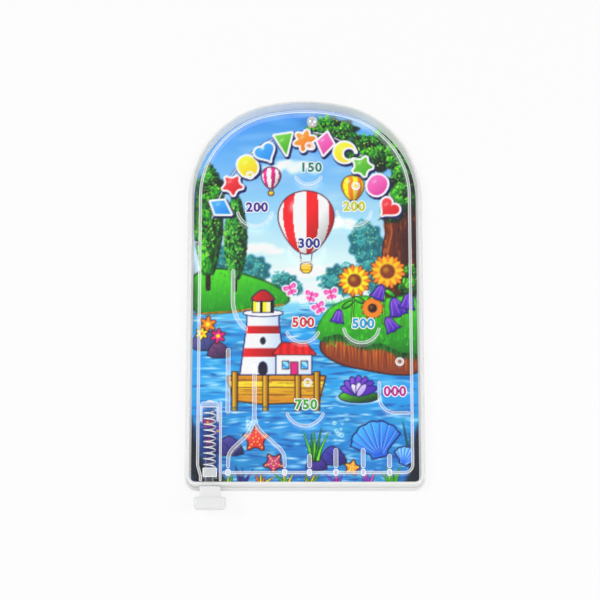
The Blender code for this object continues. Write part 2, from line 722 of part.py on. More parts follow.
def plunger_spring():
    points = coil_points()
    curve = bpy.data.curves.new("plunger_spring", "CURVE")
    curve.dimensions = "3D"
    curve.bevel_depth = WIRE_DIAMETER / 2
    curve.bevel_resolution = 1
    curve.use_fill_caps = True
    spline = curve.splines.new("POLY")
    spline.points.add(len(points) - 1)
    for point, place in zip(spline.points, points):
        point.co = (*place, 1)
    mesh = curve_mesh(curve, "plunger_spring")
    add_part("plunger_spring", mesh, "spring_wire", (PLUNGER_X, 0, PLUNGER_HEIGHT))
    gap = least_gap(points, WIRE_DIAMETER)
    print(f"spring: least gap to itself {gap / MM:.2f} mm, wanted over {LEAST_COIL_GAP / MM:.1f} mm")


def steel_ball():
    """The ball under the arch, parented to the middle of the arc that it rolls along."""
    pivot = bpy.data.objects.new("ball_pivot", None)
    height = CARD_TOP + SEAT_GAP + BALL_DIAMETER / 2
    pivot.location = (0, ARCH_CENTRE, height)
    PARTS.objects.link(pivot)
    bm = bmesh.new()
    bmesh.ops.create_uvsphere(
        bm, u_segments=BALL_MERIDIANS, v_segments=BALL_RINGS, radius=BALL_DIAMETER / 2
    )
    ball = add_part("steel_ball", mesh_from(bm, "steel_ball"), "chromed_steel")
    across = BALL_PATH_RADIUS * math.sin(BALL_ANGLE)
    ball.location = (across, BALL_PATH_RADIUS * math.cos(BALL_ANGLE), 0)
    ball.parent = pivot


clear_scene()
PARTS = new_collection("handheld_pinball_game")
CUTTERS = new_collection("cutters")
back_tray()
printed_card()
front_cover()
guide_rail()
launch_lane()
centre_funnel()
slot_dividers()
cups()
side_scoop()
pegs()
spring_seat()
plunger()
plunger_spring()
steel_ball()
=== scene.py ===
import bpy
import bmesh
import numpy as np
from math import cos, sin, pi, radians, sqrt
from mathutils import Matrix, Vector


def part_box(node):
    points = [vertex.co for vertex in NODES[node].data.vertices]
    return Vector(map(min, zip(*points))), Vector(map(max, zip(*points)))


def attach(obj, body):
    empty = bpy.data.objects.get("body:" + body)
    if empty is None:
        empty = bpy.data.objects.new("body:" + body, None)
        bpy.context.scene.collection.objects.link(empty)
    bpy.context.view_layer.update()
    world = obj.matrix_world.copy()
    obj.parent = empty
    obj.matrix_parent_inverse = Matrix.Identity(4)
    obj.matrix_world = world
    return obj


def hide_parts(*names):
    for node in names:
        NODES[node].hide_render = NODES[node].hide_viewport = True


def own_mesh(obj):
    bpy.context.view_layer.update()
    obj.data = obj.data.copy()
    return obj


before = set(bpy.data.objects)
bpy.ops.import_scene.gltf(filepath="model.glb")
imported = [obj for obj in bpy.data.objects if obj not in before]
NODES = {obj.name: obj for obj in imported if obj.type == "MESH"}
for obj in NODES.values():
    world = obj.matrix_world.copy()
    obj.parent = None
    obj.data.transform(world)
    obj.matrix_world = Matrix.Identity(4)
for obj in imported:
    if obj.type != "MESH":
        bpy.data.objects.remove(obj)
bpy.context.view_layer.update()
MM = 0.001
draw = np.random.default_rng(17)
rand, about = draw.uniform, draw.normal

# ---- card outline, in millimetres
CARD_LOW, CARD_HIGH = (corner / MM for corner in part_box("printed_card"))
CARD_HALF = CARD_HIGH.x
CARD_CORNER = 2.3
SHOULDER_X, SHOULDER_Y, SHOULDER_R = 8.0, 45.18, 39.3
CROWN_Y, CROWN_R = 14.2, 71.3
TURN_Y = 83.23  # where the shoulders' arcs meet the crown's
CROWN_BAND = 2.4  # the part of the crown where the net's rows lie close together
NET_STEP = 0.4
PRINT_Z = CARD_HIGH.z + 0.02


def half_width(y):
    """Half the card's width at a height on it."""
    y = np.asarray(y, float)
    crown = np.sqrt(np.clip(CROWN_R**2 - (y - CROWN_Y) ** 2, 0, None))
    shoulder = SHOULDER_X + np.sqrt(np.clip(SHOULDER_R**2 - (y - SHOULDER_Y) ** 2, 0, None))
    dip = np.clip(CARD_LOW.y + CARD_CORNER - y, 0, CARD_CORNER)
    foot = CARD_HALF - CARD_CORNER + np.sqrt(CARD_CORNER**2 - dip**2)
    return np.where(y > TURN_Y, crown, np.where(y > SHOULDER_Y, shoulder, np.minimum(foot, CARD_HALF)))


def card_heights():
    """Heights of the net's rows, closer together where the outline turns fast."""
    foot = CARD_LOW.y + CARD_CORNER * (1 - np.cos(np.linspace(0, pi / 2, 7)))
    crown = CARD_HIGH.y - CROWN_BAND * np.linspace(1, 0, 12) ** 2
    count = int((crown[0] - foot[-1]) / NET_STEP)
    return np.concatenate([foot, np.linspace(foot[-1], crown[0], count)[1:-1], crown])


# ---- colours of the print
def inks(codes):
    """Printing colours, each written as six hexadecimal digits, as three shares."""
    return [np.array([*bytes.fromhex(code)]) / 255 for code in codes.split()]


def ink(code):
    return inks(code)[0]


def linear(colour):
    colour = np.clip(colour, 0, 1)
    return np.where(colour <= 0.04045, colour / 12.92, ((colour + 0.055) / 1.055) ** 2.4)


def mixed(a, b, t):
    return a * (1 - t) + b * t


def spots(points):
    """Rows of numbers as an array, from a list or from text such as "1,2 3,4"."""
    if isinstance(points, str):
        points = [row.split(",") for row in points.split()]
    return np.asarray(points, float)


def scattered(count, left, right, low, high):
    """Places drawn at random in a box."""
    for _ in range(count):
        yield rand(left, right), rand(low, high)


SKY_TOP, SKY_MID, SKY_LOW = inks("4692da 98caee dcecf8")
WATER_FAR, WATER_MID, WATER_NEAR = inks("86cdea 329edb 1f74bc")
LEAF_DARK, LEAF_MID, LEAF_LIGHT = inks("07301f 22912c 7ae032")
GRASS_DARK, GRASS_LIGHT = inks("1f8428 66dc30")
TEAL_DARK, TEAL_LIGHT = inks("1c7480 57b7b4")
BARK_DARK, BARK_MID, BARK_LIGHT = inks("35140c 8c4520 c8742e")
PLANK_DARK, PLANK_MID, PLANK_LIGHT = inks("8a5608 d9a411 f7d23a")
WHITE, NAVY, BLACK = inks("ffffff 17185e 151021")
RED, RED_DARK, YELLOW, ORANGE = inks("e8222c 8f1020 fbe11c f58a1a")
GREEN, CYAN, PINK = inks("58bd2a 2f9bf0 ee56ae")
VIOLET, VIOLET_LIGHT, MAGENTA, PLUM = inks("4a20a8 8a5ad2 d81f86 1d1238")
GREENS = LEAF_DARK, LEAF_MID, LEAF_LIGHT
TEALS = TEAL_DARK, mixed(TEAL_DARK, TEAL_LIGHT, 0.6), TEAL_LIGHT
FOAM = mixed(WATER_FAR, WHITE, 0.7)


# ---- painting by dabs and forms
class Picture:
    """The card's printed picture, painted form by form on the points of a net."""

    def __init__(self):
        self.rows = card_heights()
        self.half = half_width(self.rows)
        count = int(2 * CARD_HALF / NET_STEP) + 1
        self.share = np.linspace(-1, 1, count)
        self.x = self.half[:, None] * self.share
        self.y = np.repeat(self.rows[:, None], count, 1)
        self.colour = np.ones((*self.x.shape, 3))

    def window(self, low, high):
        """The part of the net in a box, empty where the box is off the card."""
        a, b = np.searchsorted(self.rows, [low[1], high[1]])
        half = np.maximum(self.half[a:b], 0.01)
        ends = [np.min(low[0] / half, initial=np.inf), np.max(high[0] / half, initial=-np.inf)]
        return slice(a, b), slice(*np.searchsorted(self.share, ends))

    def lay(self, part, weight, colour):
        if callable(colour):
            colour = colour(self.x[part], self.y[part])
        old = self.colour[part]
        self.colour[part] = old + (colour - old) * weight[..., None]

    def dab(self, x, y, rx, ry, colour, turn=0.0, soft=0.5, strength=1.0):
        """An oval touch of colour that fades towards its edge."""
        reach = max(rx, ry)
        part = self.window((x - reach, y - reach), (x + reach, y + reach))
        c, s = cos(turn), sin(turn)
        u, v = self.x[part] - x, self.y[part] - y
        radius = np.hypot((u * c + v * s) / rx, (v * c - u * s) / ry)
        self.lay(part, np.clip((1 - radius) / soft, 0, 1) * strength, colour)

    def form(self, points, colour, grow=0.0, soft=0.45, strength=1.0):
        """A closed outline filled with a colour, or with a function that gives one by place."""
        points = spots(points)
        edge = grow + soft + 0.1
        part = self.window(points.min(0) - edge, points.max(0) + edge)
        inside = depth_inside(self.x[part], self.y[part], points)
        self.lay(part, np.clip(0.5 + (inside + grow) / soft, 0, 1) * strength, colour)

    def line(self, points, width, colour, soft=0.4, strength=1.0, taper=False):
        """A brush stroke along some points, which may thin out towards its end."""
        points = spots(points)
        part = self.window(points.min(0) - width - soft, points.max(0) + width + soft)
        x, y = self.x[part], self.y[part]
        best = np.full(x.shape, 1e9)
        last = len(points) - 1
        for i in range(last):
            distance, along = to_stretch(x, y, points[i], points[i + 1])
            wide = width / 2 * ((1 - (i + along) / last) if taper else 1)
            best = np.minimum(best, distance - wide)
        self.lay(part, np.clip(0.5 - best / soft, 0, 1) * strength, colour)

    def blade(self, x, y, lean, rise, width, colour, soft, strength):
        """One short stroke that thins out, as a blade of grass does."""
        self.line([(x, y), (x + lean, y + rise)], width, colour, soft, strength, True)

    def outlined(self, points, colour, rim=NAVY, width=0.55, soft=0.45):
        """A form with a drawn outline round it."""
        self.form(points, rim, width, soft)
        self.form(points, colour)

    def each(self, paint, places):
        """One motif at several places."""
        for place in spots(places):
            paint(self, *place)


def to_stretch(x, y, start, end):
    """Distance to one straight stretch, and the share of the way along it."""
    e = end - start
    u, v = x - start[0], y - start[1]
    along = np.clip((u * e[0] + v * e[1]) / max(e @ e, 1e-9), 0, 1)
    return np.hypot(u - e[0] * along, v - e[1] * along), along


def depth_inside(x, y, points):
    """How far each place lies inside an outline, in millimetres, negative outside it."""
    best = np.full(x.shape, 1e9)
    inside = np.zeros(x.shape, bool)
    for start, end in zip(points, np.roll(points, -1, axis=0)):
        distance, _ = to_stretch(x, y, start, end)
        best = np.minimum(best, distance)
        if start[1] != end[1]:
            crossing = start[0] + (y - start[1]) * (end[0] - start[0]) / (end[1] - start[1])
            inside ^= ((start[1] <= y) != (end[1] <= y)) & (x < crossing)
    return np.where(inside, best, -best)


# ---- outlines and fills
def pairs(u, v):
    return np.stack([u, v], 1)


def turns(count):
    return np.linspace(0, 2 * pi, count, endpoint=False)


def placed(points, x, y, turn=0.0, size=1.0):
    """Points drawn about zero, moved to a place at a size and a turn."""
    u, v = spots(points).T * size
    c, s = cos(turn), sin(turn)
    return pairs(x + u * c - v * s, y + u * s + v * c)


def softened(points, cuts=2, closed=True):
    """An outline or a way with its corners cut again and again, so that it runs smoothly."""
    points = spots(points)
    for _ in range(cuts):
        here, after = (points, np.roll(points, -1, axis=0)) if closed else (points[:-1], points[1:])
        cut = np.stack([here * 0.75 + after * 0.25, here * 0.25 + after * 0.75], 1).reshape(-1, 2)
        points = cut if closed else np.concatenate([points[:1], cut, points[-1:]])
    return points


def oval(x, y, rx, ry, turn=0.0, count=28):
    t = turns(count)
    return placed(pairs(rx * np.cos(t), ry * np.sin(t)), x, y, turn)


def petalled(x, y, radius, petals, depth, turn=0.0, count=60):
    """A round outline that swings in and out, as a flower does."""
    t = turns(count)
    r = radius * (1 - depth / 2 + depth / 2 * np.cos(petals * (t - turn)))
    return placed(pairs(r * np.cos(t), r * np.sin(t)), x, y)


def star(x, y, radius, inner, turn):
    """Five sharp points."""
    t = turn + np.arange(10) * pi / 5
    r = np.where(np.arange(10) % 2, radius * inner, radius)
    return placed(pairs(r * np.cos(t), r * np.sin(t)), x, y)


def shaded(light, dark, x, y, rx, ry, lean=(0.5, -0.7)):
    """A colour that runs from light to dark across a rounded form."""

    def colour(px, py):
        t = ((px - x) / rx * lean[0] + (py - y) / ry * lean[1]) * 0.5 + 0.5
        return mixed(light, dark, np.clip(t, 0, 1)[..., None])

    return colour


def banded(colours, x, y, turn, width):
    """Stripes of several colours across a form."""
    c, s = cos(turn), sin(turn)

    def colour(px, py):
        which = np.floor(((px - x) * c + (py - y) * s) / width).astype(int) % len(colours)
        return np.array(colours)[which]

    return colour


def lit_tone(tones, lit):
    """A tone between the dark, the middle and the light one."""
    dark, middle, light = tones
    return mixed(dark, middle, lit * 2) if lit < 0.5 else mixed(middle, light, lit * 2 - 1)


# ---- motifs of the picture
def sky_and_water(p):
    stops = [-80, -40, -12, -1, 1, 12, 40, 86]
    tones = [WATER_NEAR, WATER_MID, WATER_MID, WATER_FAR, SKY_LOW, SKY_LOW, SKY_MID, SKY_TOP]
    for channel in range(3):
        p.colour[..., channel] = np.interp(p.y, stops, [tone[channel] for tone in tones])
    for x, h in scattered(90, -46, 46, 6, 84):
        tone = mixed(SKY_LOW, SKY_TOP, rand(0, 0.9) * (h / 84))
        p.dab(x, h, rand(6, 15), rand(1.5, 4), tone, rand(-0.2, 0.2), 1, 0.35)
    for x, h in scattered(130, -46, 46, -77, -4):
        deep = rand() < 0.5
        tone = mixed(WATER_NEAR, NAVY, rand(0, 0.5)) if deep else mixed(WATER_MID, TEAL_LIGHT, rand(0.2, 0.8))
        p.dab(x, h, rand(5, 13), rand(1.2, 3.2), tone, rand(-0.1, 0.1), 1, rand(0.3, 0.6))
    tone = mixed(WATER_FAR, WHITE, 0.35)
    for x, h in scattered(60, -46, 46, -77, -4):
        p.dab(x, h, rand(4, 9), rand(1.0, 2.6), tone, rand(-0.1, 0.1), 1, rand(0.2, 0.5))
    for x, h in scattered(900, -46, 46, -77, 0):
        light = rand() < 0.6
        tone = mixed(WATER_FAR, WHITE, rand(0, 0.9)) if light else mixed(WATER_NEAR, NAVY, rand(0, 0.5))
        p.dab(x, h, rand(1.5, 6), rand(0.3, 0.8), tone, rand(-0.15, 0.15), 0.8, rand(0.3, 0.8))


def cloud(p, x, y, size):
    for _ in range(26):
        a, r = rand(0, pi), rand() ** 0.5
        px, py = x + size * 1.7 * r * cos(a), y + size * 0.55 * r * sin(a)
        p.dab(px, py, size * rand(0.3, 0.6), size * rand(0.22, 0.4), WHITE, 0, 0.9, 0.55)
    p.dab(x, y - size * 0.25, size * 1.7, size * 0.25, mixed(SKY_MID, WHITE, 0.3), 0, 1, 0.4)


def sprinkle(p, x, y, rx, ry, light, count):
    """Small touches of light over a crown, most of them towards its upper left."""
    tone = mixed(light, ink("f4f58a"), 0.5)
    for _ in range(count):
        a, q = rand(0, 2 * pi), sqrt(rand()) * 0.82
        px, py = x + rx * (q * cos(a) - 0.14), y + ry * (q * sin(a) + 0.14)
        p.dab(px, py, rand(0.3, 0.62), rand(0.3, 0.75), tone, rand(-0.6, 0.6), 0.7, rand(0.35, 0.95))


def leaves(p, x, y, rx, ry, tones, density, leaf):
    """A mass of foliage: a dark body, then clumps of leaves, each lit from the top left."""
    p.form(petalled(0, 0, 1, 9, 0.18, rand(0, 6)) * (rx, ry) + (x, y), tones[0], soft=1.2)
    clumps = max(5, int(rx * ry / 7))
    for _ in range(clumps):
        a, r = rand(0, 2 * pi), sqrt(rand()) * 0.86
        cx, cy = x + rx * r * cos(a), y + ry * r * sin(a)
        size = leaf * rand(1.5, 2.6)
        p.dab(cx + size * 0.3, cy - size * 0.4, size, size * 0.8, mixed(tones[0], BLACK, 0.25), 0, 0.9, 0.6)
        for _ in range(int(rx * ry * density) // clumps):
            b, q = rand(0, 2 * pi), sqrt(rand())
            u, v = q * cos(b), q * sin(b)
            tone = lit_tone(tones, np.clip(0.45 + 0.42 * v - 0.3 * u + about(0, 0.18), 0, 1))
            long, wide = leaf * rand(0.4, 0.75), leaf * rand(0.22, 0.4)
            p.dab(cx + u * size, cy + v * size * 0.85, long, wide, tone, rand(0, 3.1), 0.5, 0.9)
    sprinkle(p, x, y, rx, ry, tones[2], int(rx * ry * 0.7))


def poplar(p, x, foot, height, width, tones):
    """A tall pointed tree."""
    t = np.linspace(0, 1, 16)
    side = width / 2 * np.sin(np.clip(t * 1.25 + 0.12, 0, 1) ** 0.8 * pi * 0.5) * (1 - t**2.2) ** 0.6
    up = foot + t * height
    p.line([(x, foot - height * 0.12), (x, foot + height * 0.2)], width * 0.14, BARK_DARK)
    p.form(np.concatenate([pairs(x + side, up), pairs(x - side, up)[::-1]]), tones[0], soft=1.0)
    for _ in range(int(height * width * 0.8)):
        h, u = rand(0.02, 0.97), rand(-1, 1)
        tone = lit_tone(tones, np.clip(0.55 - 0.45 * u + about(0, 0.2), 0, 1))
        px = x + u * np.interp(h, t, side)
        p.dab(px, foot + h * height, 0.5, 1.25, tone, rand(-0.6, 0.6), 0.5, 0.9)
    sprinkle(p, x, foot + height * 0.46, width * 0.46, height * 0.44, tones[2], int(height * width * 0.16))


def cliff(p):
    """A warm brown rock face at the right edge."""
    outline = softened("31,2 34,12 32.5,22 35,31 33,41 37,50 49,56 49,0")
    p.outlined(outline, shaded(BARK_MID, BARK_DARK, 40, 28, 8, 30, (0.9, -0.3)), BARK_DARK, 0.5)
    for x, y in scattered(120, 33, 47, 2, 52):
        tone = mixed(BARK_DARK, BARK_LIGHT, rand())
        p.blade(x, y, about(0, 0.5), -rand(2, 6), rand(0.4, 1.2), tone, 0.6, 0.75)
    p.line("36,50 35.4,41 37,31 35.2,22 36.5,12", 0.8, BARK_LIGHT, 0.6, 0.8)


BALLOON = "-1,0.2 -0.7,0.86 0,1.12 0.7,0.86 1,0.2 0.72,-0.55 0.24,-1.12 -0.24,-1.12 -0.72,-0.55"


def balloon(p, x, y, r, colours, basket):
    """A hot-air balloon with gores in turn, shaded round."""

    def gores(px, py):
        h = np.clip((py - (y - r * 1.15)) / (r * 2.3), 0, 1)
        reach = r * np.sqrt(np.clip(1 - (2 * h - 1.22) ** 2 / 1.6, 0.03, 1))
        turn = np.arcsin(np.clip((px - x) / reach, -1, 1))
        which = np.floor(turn / pi * 7 + 40).astype(int) % len(colours)
        lit = np.clip(1.08 - 0.35 * ((px - x) / r * 0.7 - (py - y) / r * 0.5 + 0.3), 0.55, 1.08)
        return np.clip(np.array(colours)[which] * lit[..., None], 0, 1)

    p.outlined(softened(placed(BALLOON, x, y, 0, r), 3), gores, mixed(colours[0], BLACK, 0.62), 0.5)
    p.dab(x - r * 0.4, y + r * 0.55, r * 0.22, r * 0.34, WHITE, -0.5, 1, 0.75)
    for side in (-0.2, 0.2):
        p.line([(x + r * side, y - r * 1.12), (x + r * side * 0.8, y - r * 1.5)], 0.3, BARK_DARK)
    box = placed("-1,0 1,0 0.8,-1.7 -0.8,-1.7", x, y - r * 1.45, 0, r * basket)
    p.outlined(softened(box, 1), banded([PLANK_LIGHT, PLANK_MID], x, y, 1.57, 0.7), BARK_DARK, 0.35)


def mound(p):
    """A bright grassy bank on warm earth, at the right."""
    p.outlined(softened("6,-20 10,-24 16,-27 26,-29 36,-31 49,-31 49,-14 8,-14"), BARK_MID, BARK_DARK, 0.6)
    for x in np.arange(9, 48, 1.5):
        fall = -7 - 7 * min(1, (x - 6) / 26)
        lean, rise, width = about(0, 0.5), fall + rand(0, 2), rand(0.7, 1.6)
        p.blade(x, -16, lean, rise, width, mixed(BARK_LIGHT, ORANGE, rand(0, 0.6)), 0.6, 0.85)
    top = softened("4,-14 9,-4 15,0 24,3 34,1 49,4 49,-24 40,-23 32,-19 24,-20 14,-15 8,-17")
    p.outlined(top, shaded(GRASS_LIGHT, GRASS_DARK, 26, -8, 26, 12, (0.1, -0.9)), GRASS_DARK, 0.6, 0.8)
    for x, y in scattered(330, 7, 47, -19, 1):
        tone = np.clip(mixed(GRASS_DARK, GRASS_LIGHT, rand(0.2, 1.15)), 0, 1)
        p.blade(x, y, about(0, 0.4), rand(0.8, 2.2), 0.5, tone, 0.4, 0.7)
    for x in np.arange(8, 48, 0.7):
        y = np.interp(x, [8, 14, 24, 32, 40, 48], [-17, -15.5, -20, -19.5, -23.5, -24])
        lean, fall = about(0, 0.4), -1.5 - rand(0.3, 2.2)
        p.blade(x, y + 1.5, lean, fall, 0.9, mixed(LEAF_DARK, GRASS_DARK, rand()), 0.5, 0.9)


def meadow(p):
    """The far shore at the left, with its shadow on the water."""
    top = softened("-49,12 -36,15 -26,12 -14,8 -6,2 -9,-1 -20,-2 -30,-4 -49,-5")
    fill = shaded(GRASS_LIGHT, GRASS_DARK, -28, 5, 22, 9, (0.2, -0.8))
    p.outlined(top, fill, mixed(GRASS_DARK, BARK_DARK, 0.4), 0.7, 1.0)
    for _ in range(240):
        x = rand(-46, -9)
        y = rand(-3, np.interp(x, [-46, -36, -20, -9], [12, 14, 9, 3]))
        lean, rise = about(0, 0.3), rand(0.8, 1.8)
        p.blade(x, y, lean, rise, 0.5, mixed(GRASS_DARK, GRASS_LIGHT, rand(0.1, 1)), 0.4, 0.6)
    for x in np.arange(-46, -9, 1.1):
        y = np.interp(x, [-46, -30, -9], [-5, -4, -0.8])
        p.dab(x, y, 1.1, 0.6, mixed(BARK_MID, PLANK_MID, rand()), 0, 0.6, 0.9)


def sunflower(p, x, y, r, petals, heart, turn=0.0):
    p.outlined(petalled(x, y, r, 11, 0.42, turn, 110), ORANGE, mixed(BARK_DARK, ORANGE, 0.15), 0.35)
    p.outlined(petalled(x, y, r * 0.86, 11, 0.42, turn + 0.28, 110), petals, ORANGE, 0.35)
    p.dab(x, y, r * 0.48, r * 0.48, heart, 0, 0.25)
    p.dab(x - r * 0.1, y + r * 0.1, r * 0.26, r * 0.26, mixed(heart, YELLOW, 0.45), 0, 0.9)
    for a in np.arange(0, 6.2, 0.7):
        p.dab(x + r * 0.33 * cos(a), y + r * 0.33 * sin(a), 0.35, 0.35, BARK_DARK, 0, 0.8, 0.8)


BELL = "-0.25,1 0.25,1 0.62,0.2 0.7,-0.5 1.1,-1 0.45,-0.85 0,-1.15 -0.45,-0.85 -1.1,-1 -0.7,-0.5 -0.62,0.2"


def bellflower(p, x, y, r, turn):
    rim = softened(placed(BELL, x, y, turn, r))
    p.outlined(rim, shaded(VIOLET_LIGHT, VIOLET, x, y, r, r), NAVY, 0.4)
    for k in (-0.35, 0.05, 0.4):
        rib = placed([(k, 0.7), (1.8 * k, -0.7)], x, y, turn, r)
        p.line(rib, 0.35, mixed(VIOLET_LIGHT, WHITE, 0.35), 0.4, 0.7)


def stem(p, way, blades):
    p.line(way, 1.0, LEAF_DARK)
    p.line(way, 0.5, LEAF_LIGHT)
    for x, y, turn in spots(blades):
        p.form(oval(x, y, 2.6, 1.0, turn), LEAF_DARK, grow=0.3)
        p.form(oval(x, y, 2.4, 0.8, turn), shaded(LEAF_LIGHT, LEAF_MID, x, y, 2.5, 1.0))


def lighthouse(p):
    """A round white tower with red bands, beside a keeper's white house."""
    round_tower = (-17.5, -18, 9, 40, (1.0, 0.0))
    tower = "-27,-31 -24.2,-9 -24.2,-4.5 -11.2,-4.5 -11.2,-9 -8.4,-31"
    p.outlined(tower, shaded(WHITE, ink("b9c9ec"), *round_tower), NAVY, 0.5)
    for low, high in ((-13.5, -10.2), (-23.5, -19.8)):
        a, b = (-27 + (y + 31) * 2.8 / 22 for y in (low, high))
        p.form([(a, low), (b, high), (-35.4 - b, high), (-35.4 - a, low)], shaded(RED, RED_DARK, *round_tower))
    p.outlined(oval(-17.7, -4.6, 8.2, 1.3), WHITE, NAVY, 0.45)
    lamp_room = "-22,-4.2 -22,0.6 -13.4,0.6 -13.4,-4.2"
    p.outlined(lamp_room, banded([YELLOW, ink("fff6b0"), BLACK], -22, 0, 0, 1.45), NAVY, 0.4)
    cap = softened("-23.2,0.6 -20.5,4 -17.7,5.6 -14.9,4 -12.2,0.6", 1)
    p.outlined(cap, shaded(RED, RED_DARK, -17.7, 2, 6, 4, (1.0, 0)), NAVY, 0.45)
    p.outlined(softened("-19.4,-31 -19.4,-26.8 -17.7,-25.4 -16,-26.8 -16,-31", 1), PLUM, NAVY, 0.3)
    p.dab(-17.7, -16.6, 1.4, 1.9, PLUM, 0, 0.3)
    p.outlined("-12,-31 -12,-22.5 2.6,-22.5 2.6,-31", shaded(WHITE, ink("c2cdea"), -4, -26, 9, 8), NAVY, 0.45)
    roof = "-13.6,-22.4 -9.8,-17.6 0.4,-17.6 4.4,-22.4"
    p.outlined(roof, banded([RED, ink("c41424")], 0, 0, 0, 1.6), ink("5a0c18"), 0.45)
    for x in (-9.4, -1.6):
        pane = [(x, -28.6), (x, -25.4), (x + 2.6, -25.4), (x + 2.6, -28.6)]
        p.outlined(pane, banded(inks("3aa0ea 9bd6fb"), x, 0, 0.9, 1.2), BARK_DARK, 0.3)
    p.outlined("-5.9,-31 -5.9,-25.8 -3.1,-25.8 -3.1,-31", MAGENTA, BARK_DARK, 0.3)


def jetty(p):
    """A yellow-brown plank quay that carries the lighthouse."""
    deck = softened("-33,-30.6 8.6,-30.6 7.4,-36 5.4,-42.8 -28,-43.6 -31,-37", 1)
    planks = banded([PLANK_MID, PLANK_LIGHT, mixed(PLANK_MID, BARK_LIGHT, 0.35)], 0, -31, 1.5708, 3.1)
    p.outlined(deck, planks, BARK_DARK, 0.6)
    for y in (-33.7, -36.9, -40.0):
        p.line([(-32, y + about(0, 0.2)), (-12, y + 0.3), (7.6, y)], 0.55, PLANK_DARK, 0.4)
    for x, y in scattered(110, -31, 6, -43, -31):
        grain = [(x, y), (x + rand(2, 6), y + about(0, 0.1))]
        p.line(grain, 0.35, mixed(PLANK_DARK, PLANK_LIGHT, rand()), 0.3, 0.5)
    for x in (-29.4, -16.5, -3.0, 5.0):
        post = [(x - 1, -30), (x + 1, -30), (x + 0.9, -46.5), (x - 0.9, -46.5)]
        p.outlined(post, shaded(PLANK_LIGHT, PLANK_DARK, x, -38, 1.2, 8, (1, 0)), BARK_DARK, 0.4)
        p.dab(x, -47, 2.4, 0.8, mixed(WATER_FAR, WHITE, 0.6), 0, 0.7, 0.9)
    for y, side in ((-45.2, 1), (-46.4, -1)):
        p.line([(-30, y), (-12, y + 0.4 * side), (6, y)], 0.6, mixed(WATER_NEAR, NAVY, 0.35), 0.7, 0.6)


def scallop(p, x, y, r, light, dark, turn):
    """A ribbed fan shell."""
    t = np.linspace(-1.25, 1.25, 40)
    edge = 1 + 0.05 * np.abs(np.cos(t * 7))
    fan = pairs(np.sin(t) * edge, np.cos(t) * edge - 0.25)
    base = spots("0.34,-0.42 0.3,-0.62 -0.3,-0.62 -0.34,-0.42")
    rim = placed(np.concatenate([fan, base]), x, y, turn, r)
    p.outlined(rim, shaded(light, dark, x, y, r, r), NAVY, 0.55)
    for k in np.linspace(-1.05, 1.05, 7):
        rib = np.array([(0.12 * k, -0.5), (0.97 * sin(k), 0.97 * cos(k) - 0.25)])
        p.line(placed(rib, x, y, turn, r), 0.7, dark, 0.5, 0.85)
        p.line(placed(rib + [0.35 / r, 0], x, y, turn, r), 0.35, mixed(light, WHITE, 0.5), 0.4, 0.7)


def starfish(p, x, y, r, colour, turn):
    fill = shaded(mixed(colour, WHITE, 0.25), colour, x, y, r, r)
    p.outlined(softened(star(x, y, r, 0.42, turn)), fill, BARK_DARK, 0.45)
    for k in range(5):
        a = turn + k * 2 * pi / 5
        for q in (0.2, 0.45, 0.68):
            p.dab(x + r * q * cos(a), y + r * q * sin(a), 0.4, 0.4, mixed(YELLOW, WHITE, 0.3), 0, 0.6)


def weed(p, x, y, height, count, tones, lean=0.0):
    for k in range(count):
        off = (k - (count - 1) / 2) * 1.3
        bend = about(lean, 1.0) + off * 0.6
        tall = height * rand(0.6, 1.0)
        steps = ((0.5, 0, 0), (0.7, 0.2, 0.35), (1, 0.7, 0.7), (1, 1.4, 1))
        way = softened([(x + off * a + bend * b, y + tall * c) for a, b, c in steps], closed=False)
        p.line(way, 2.1, tones[0], 0.5, 1, True)
        p.line(way, 1.2, tones[k % 2 + 1], 0.4, 1, True)


def rock(p, x, y, r, tones):
    light, dark = inks(tones)
    rim = softened(placed("-1,-0.6 -0.8,0.3 -0.2,0.9 0.4,0.7 1,0 1.1,-0.6", x, y, 0, r), 1)
    p.outlined(rim, shaded(light, dark, x, y, r, r), mixed(dark, BLACK, 0.5), 0.4)
    p.line(placed("-0.5,0.4 -0.1,0.1 0,-0.4", x, y, 0, r), 0.4, dark, 0.5, 0.7)


def blossom(p, x, y, r, tone):
    p.outlined(petalled(x, y, r, 6, 0.5, 0.4, 66), tone, BARK_DARK, 0.35)
    p.dab(x, y, r * 0.35, r * 0.35, ORANGE if tone is YELLOW else YELLOW, 0, 0.5)


def butterfly(p, x, y, turn, r=2.5):
    for side in (-1, 1):
        for up, size in ((0.55, 1.0), (-0.5, 0.72)):
            [[px, py]] = placed([(side * 0.62 * size, up * 0.8)], x, y, turn, r)
            wing = turn + side * (0.7 if up > 0 else -0.7)
            p.outlined(oval(px, py, r * 0.62 * size, r * 0.46 * size, wing, 18), PINK, WHITE, 0.5)
            p.dab(px, py, r * 0.25 * size, r * 0.2 * size, mixed(PINK, WHITE, 0.55), turn, 0.9)
    p.line(placed("0,-0.8 0,0.8", x, y, turn, r), 0.7, MAGENTA)


def bubbles(p, x, y, count, spread):
    for _ in range(int(count)):
        px, py, r = x + about(0, spread), y + about(0, spread), rand(0.5, 1.3)
        p.dab(px, py, r, r, FOAM, 0, 0.4, 0.75)
        p.dab(px, py, r * 0.62, r * 0.62, WATER_MID, 0, 0.5, 0.7)
        p.dab(px - r * 0.25, py + r * 0.3, r * 0.3, r * 0.3, WHITE, 0, 0.8)


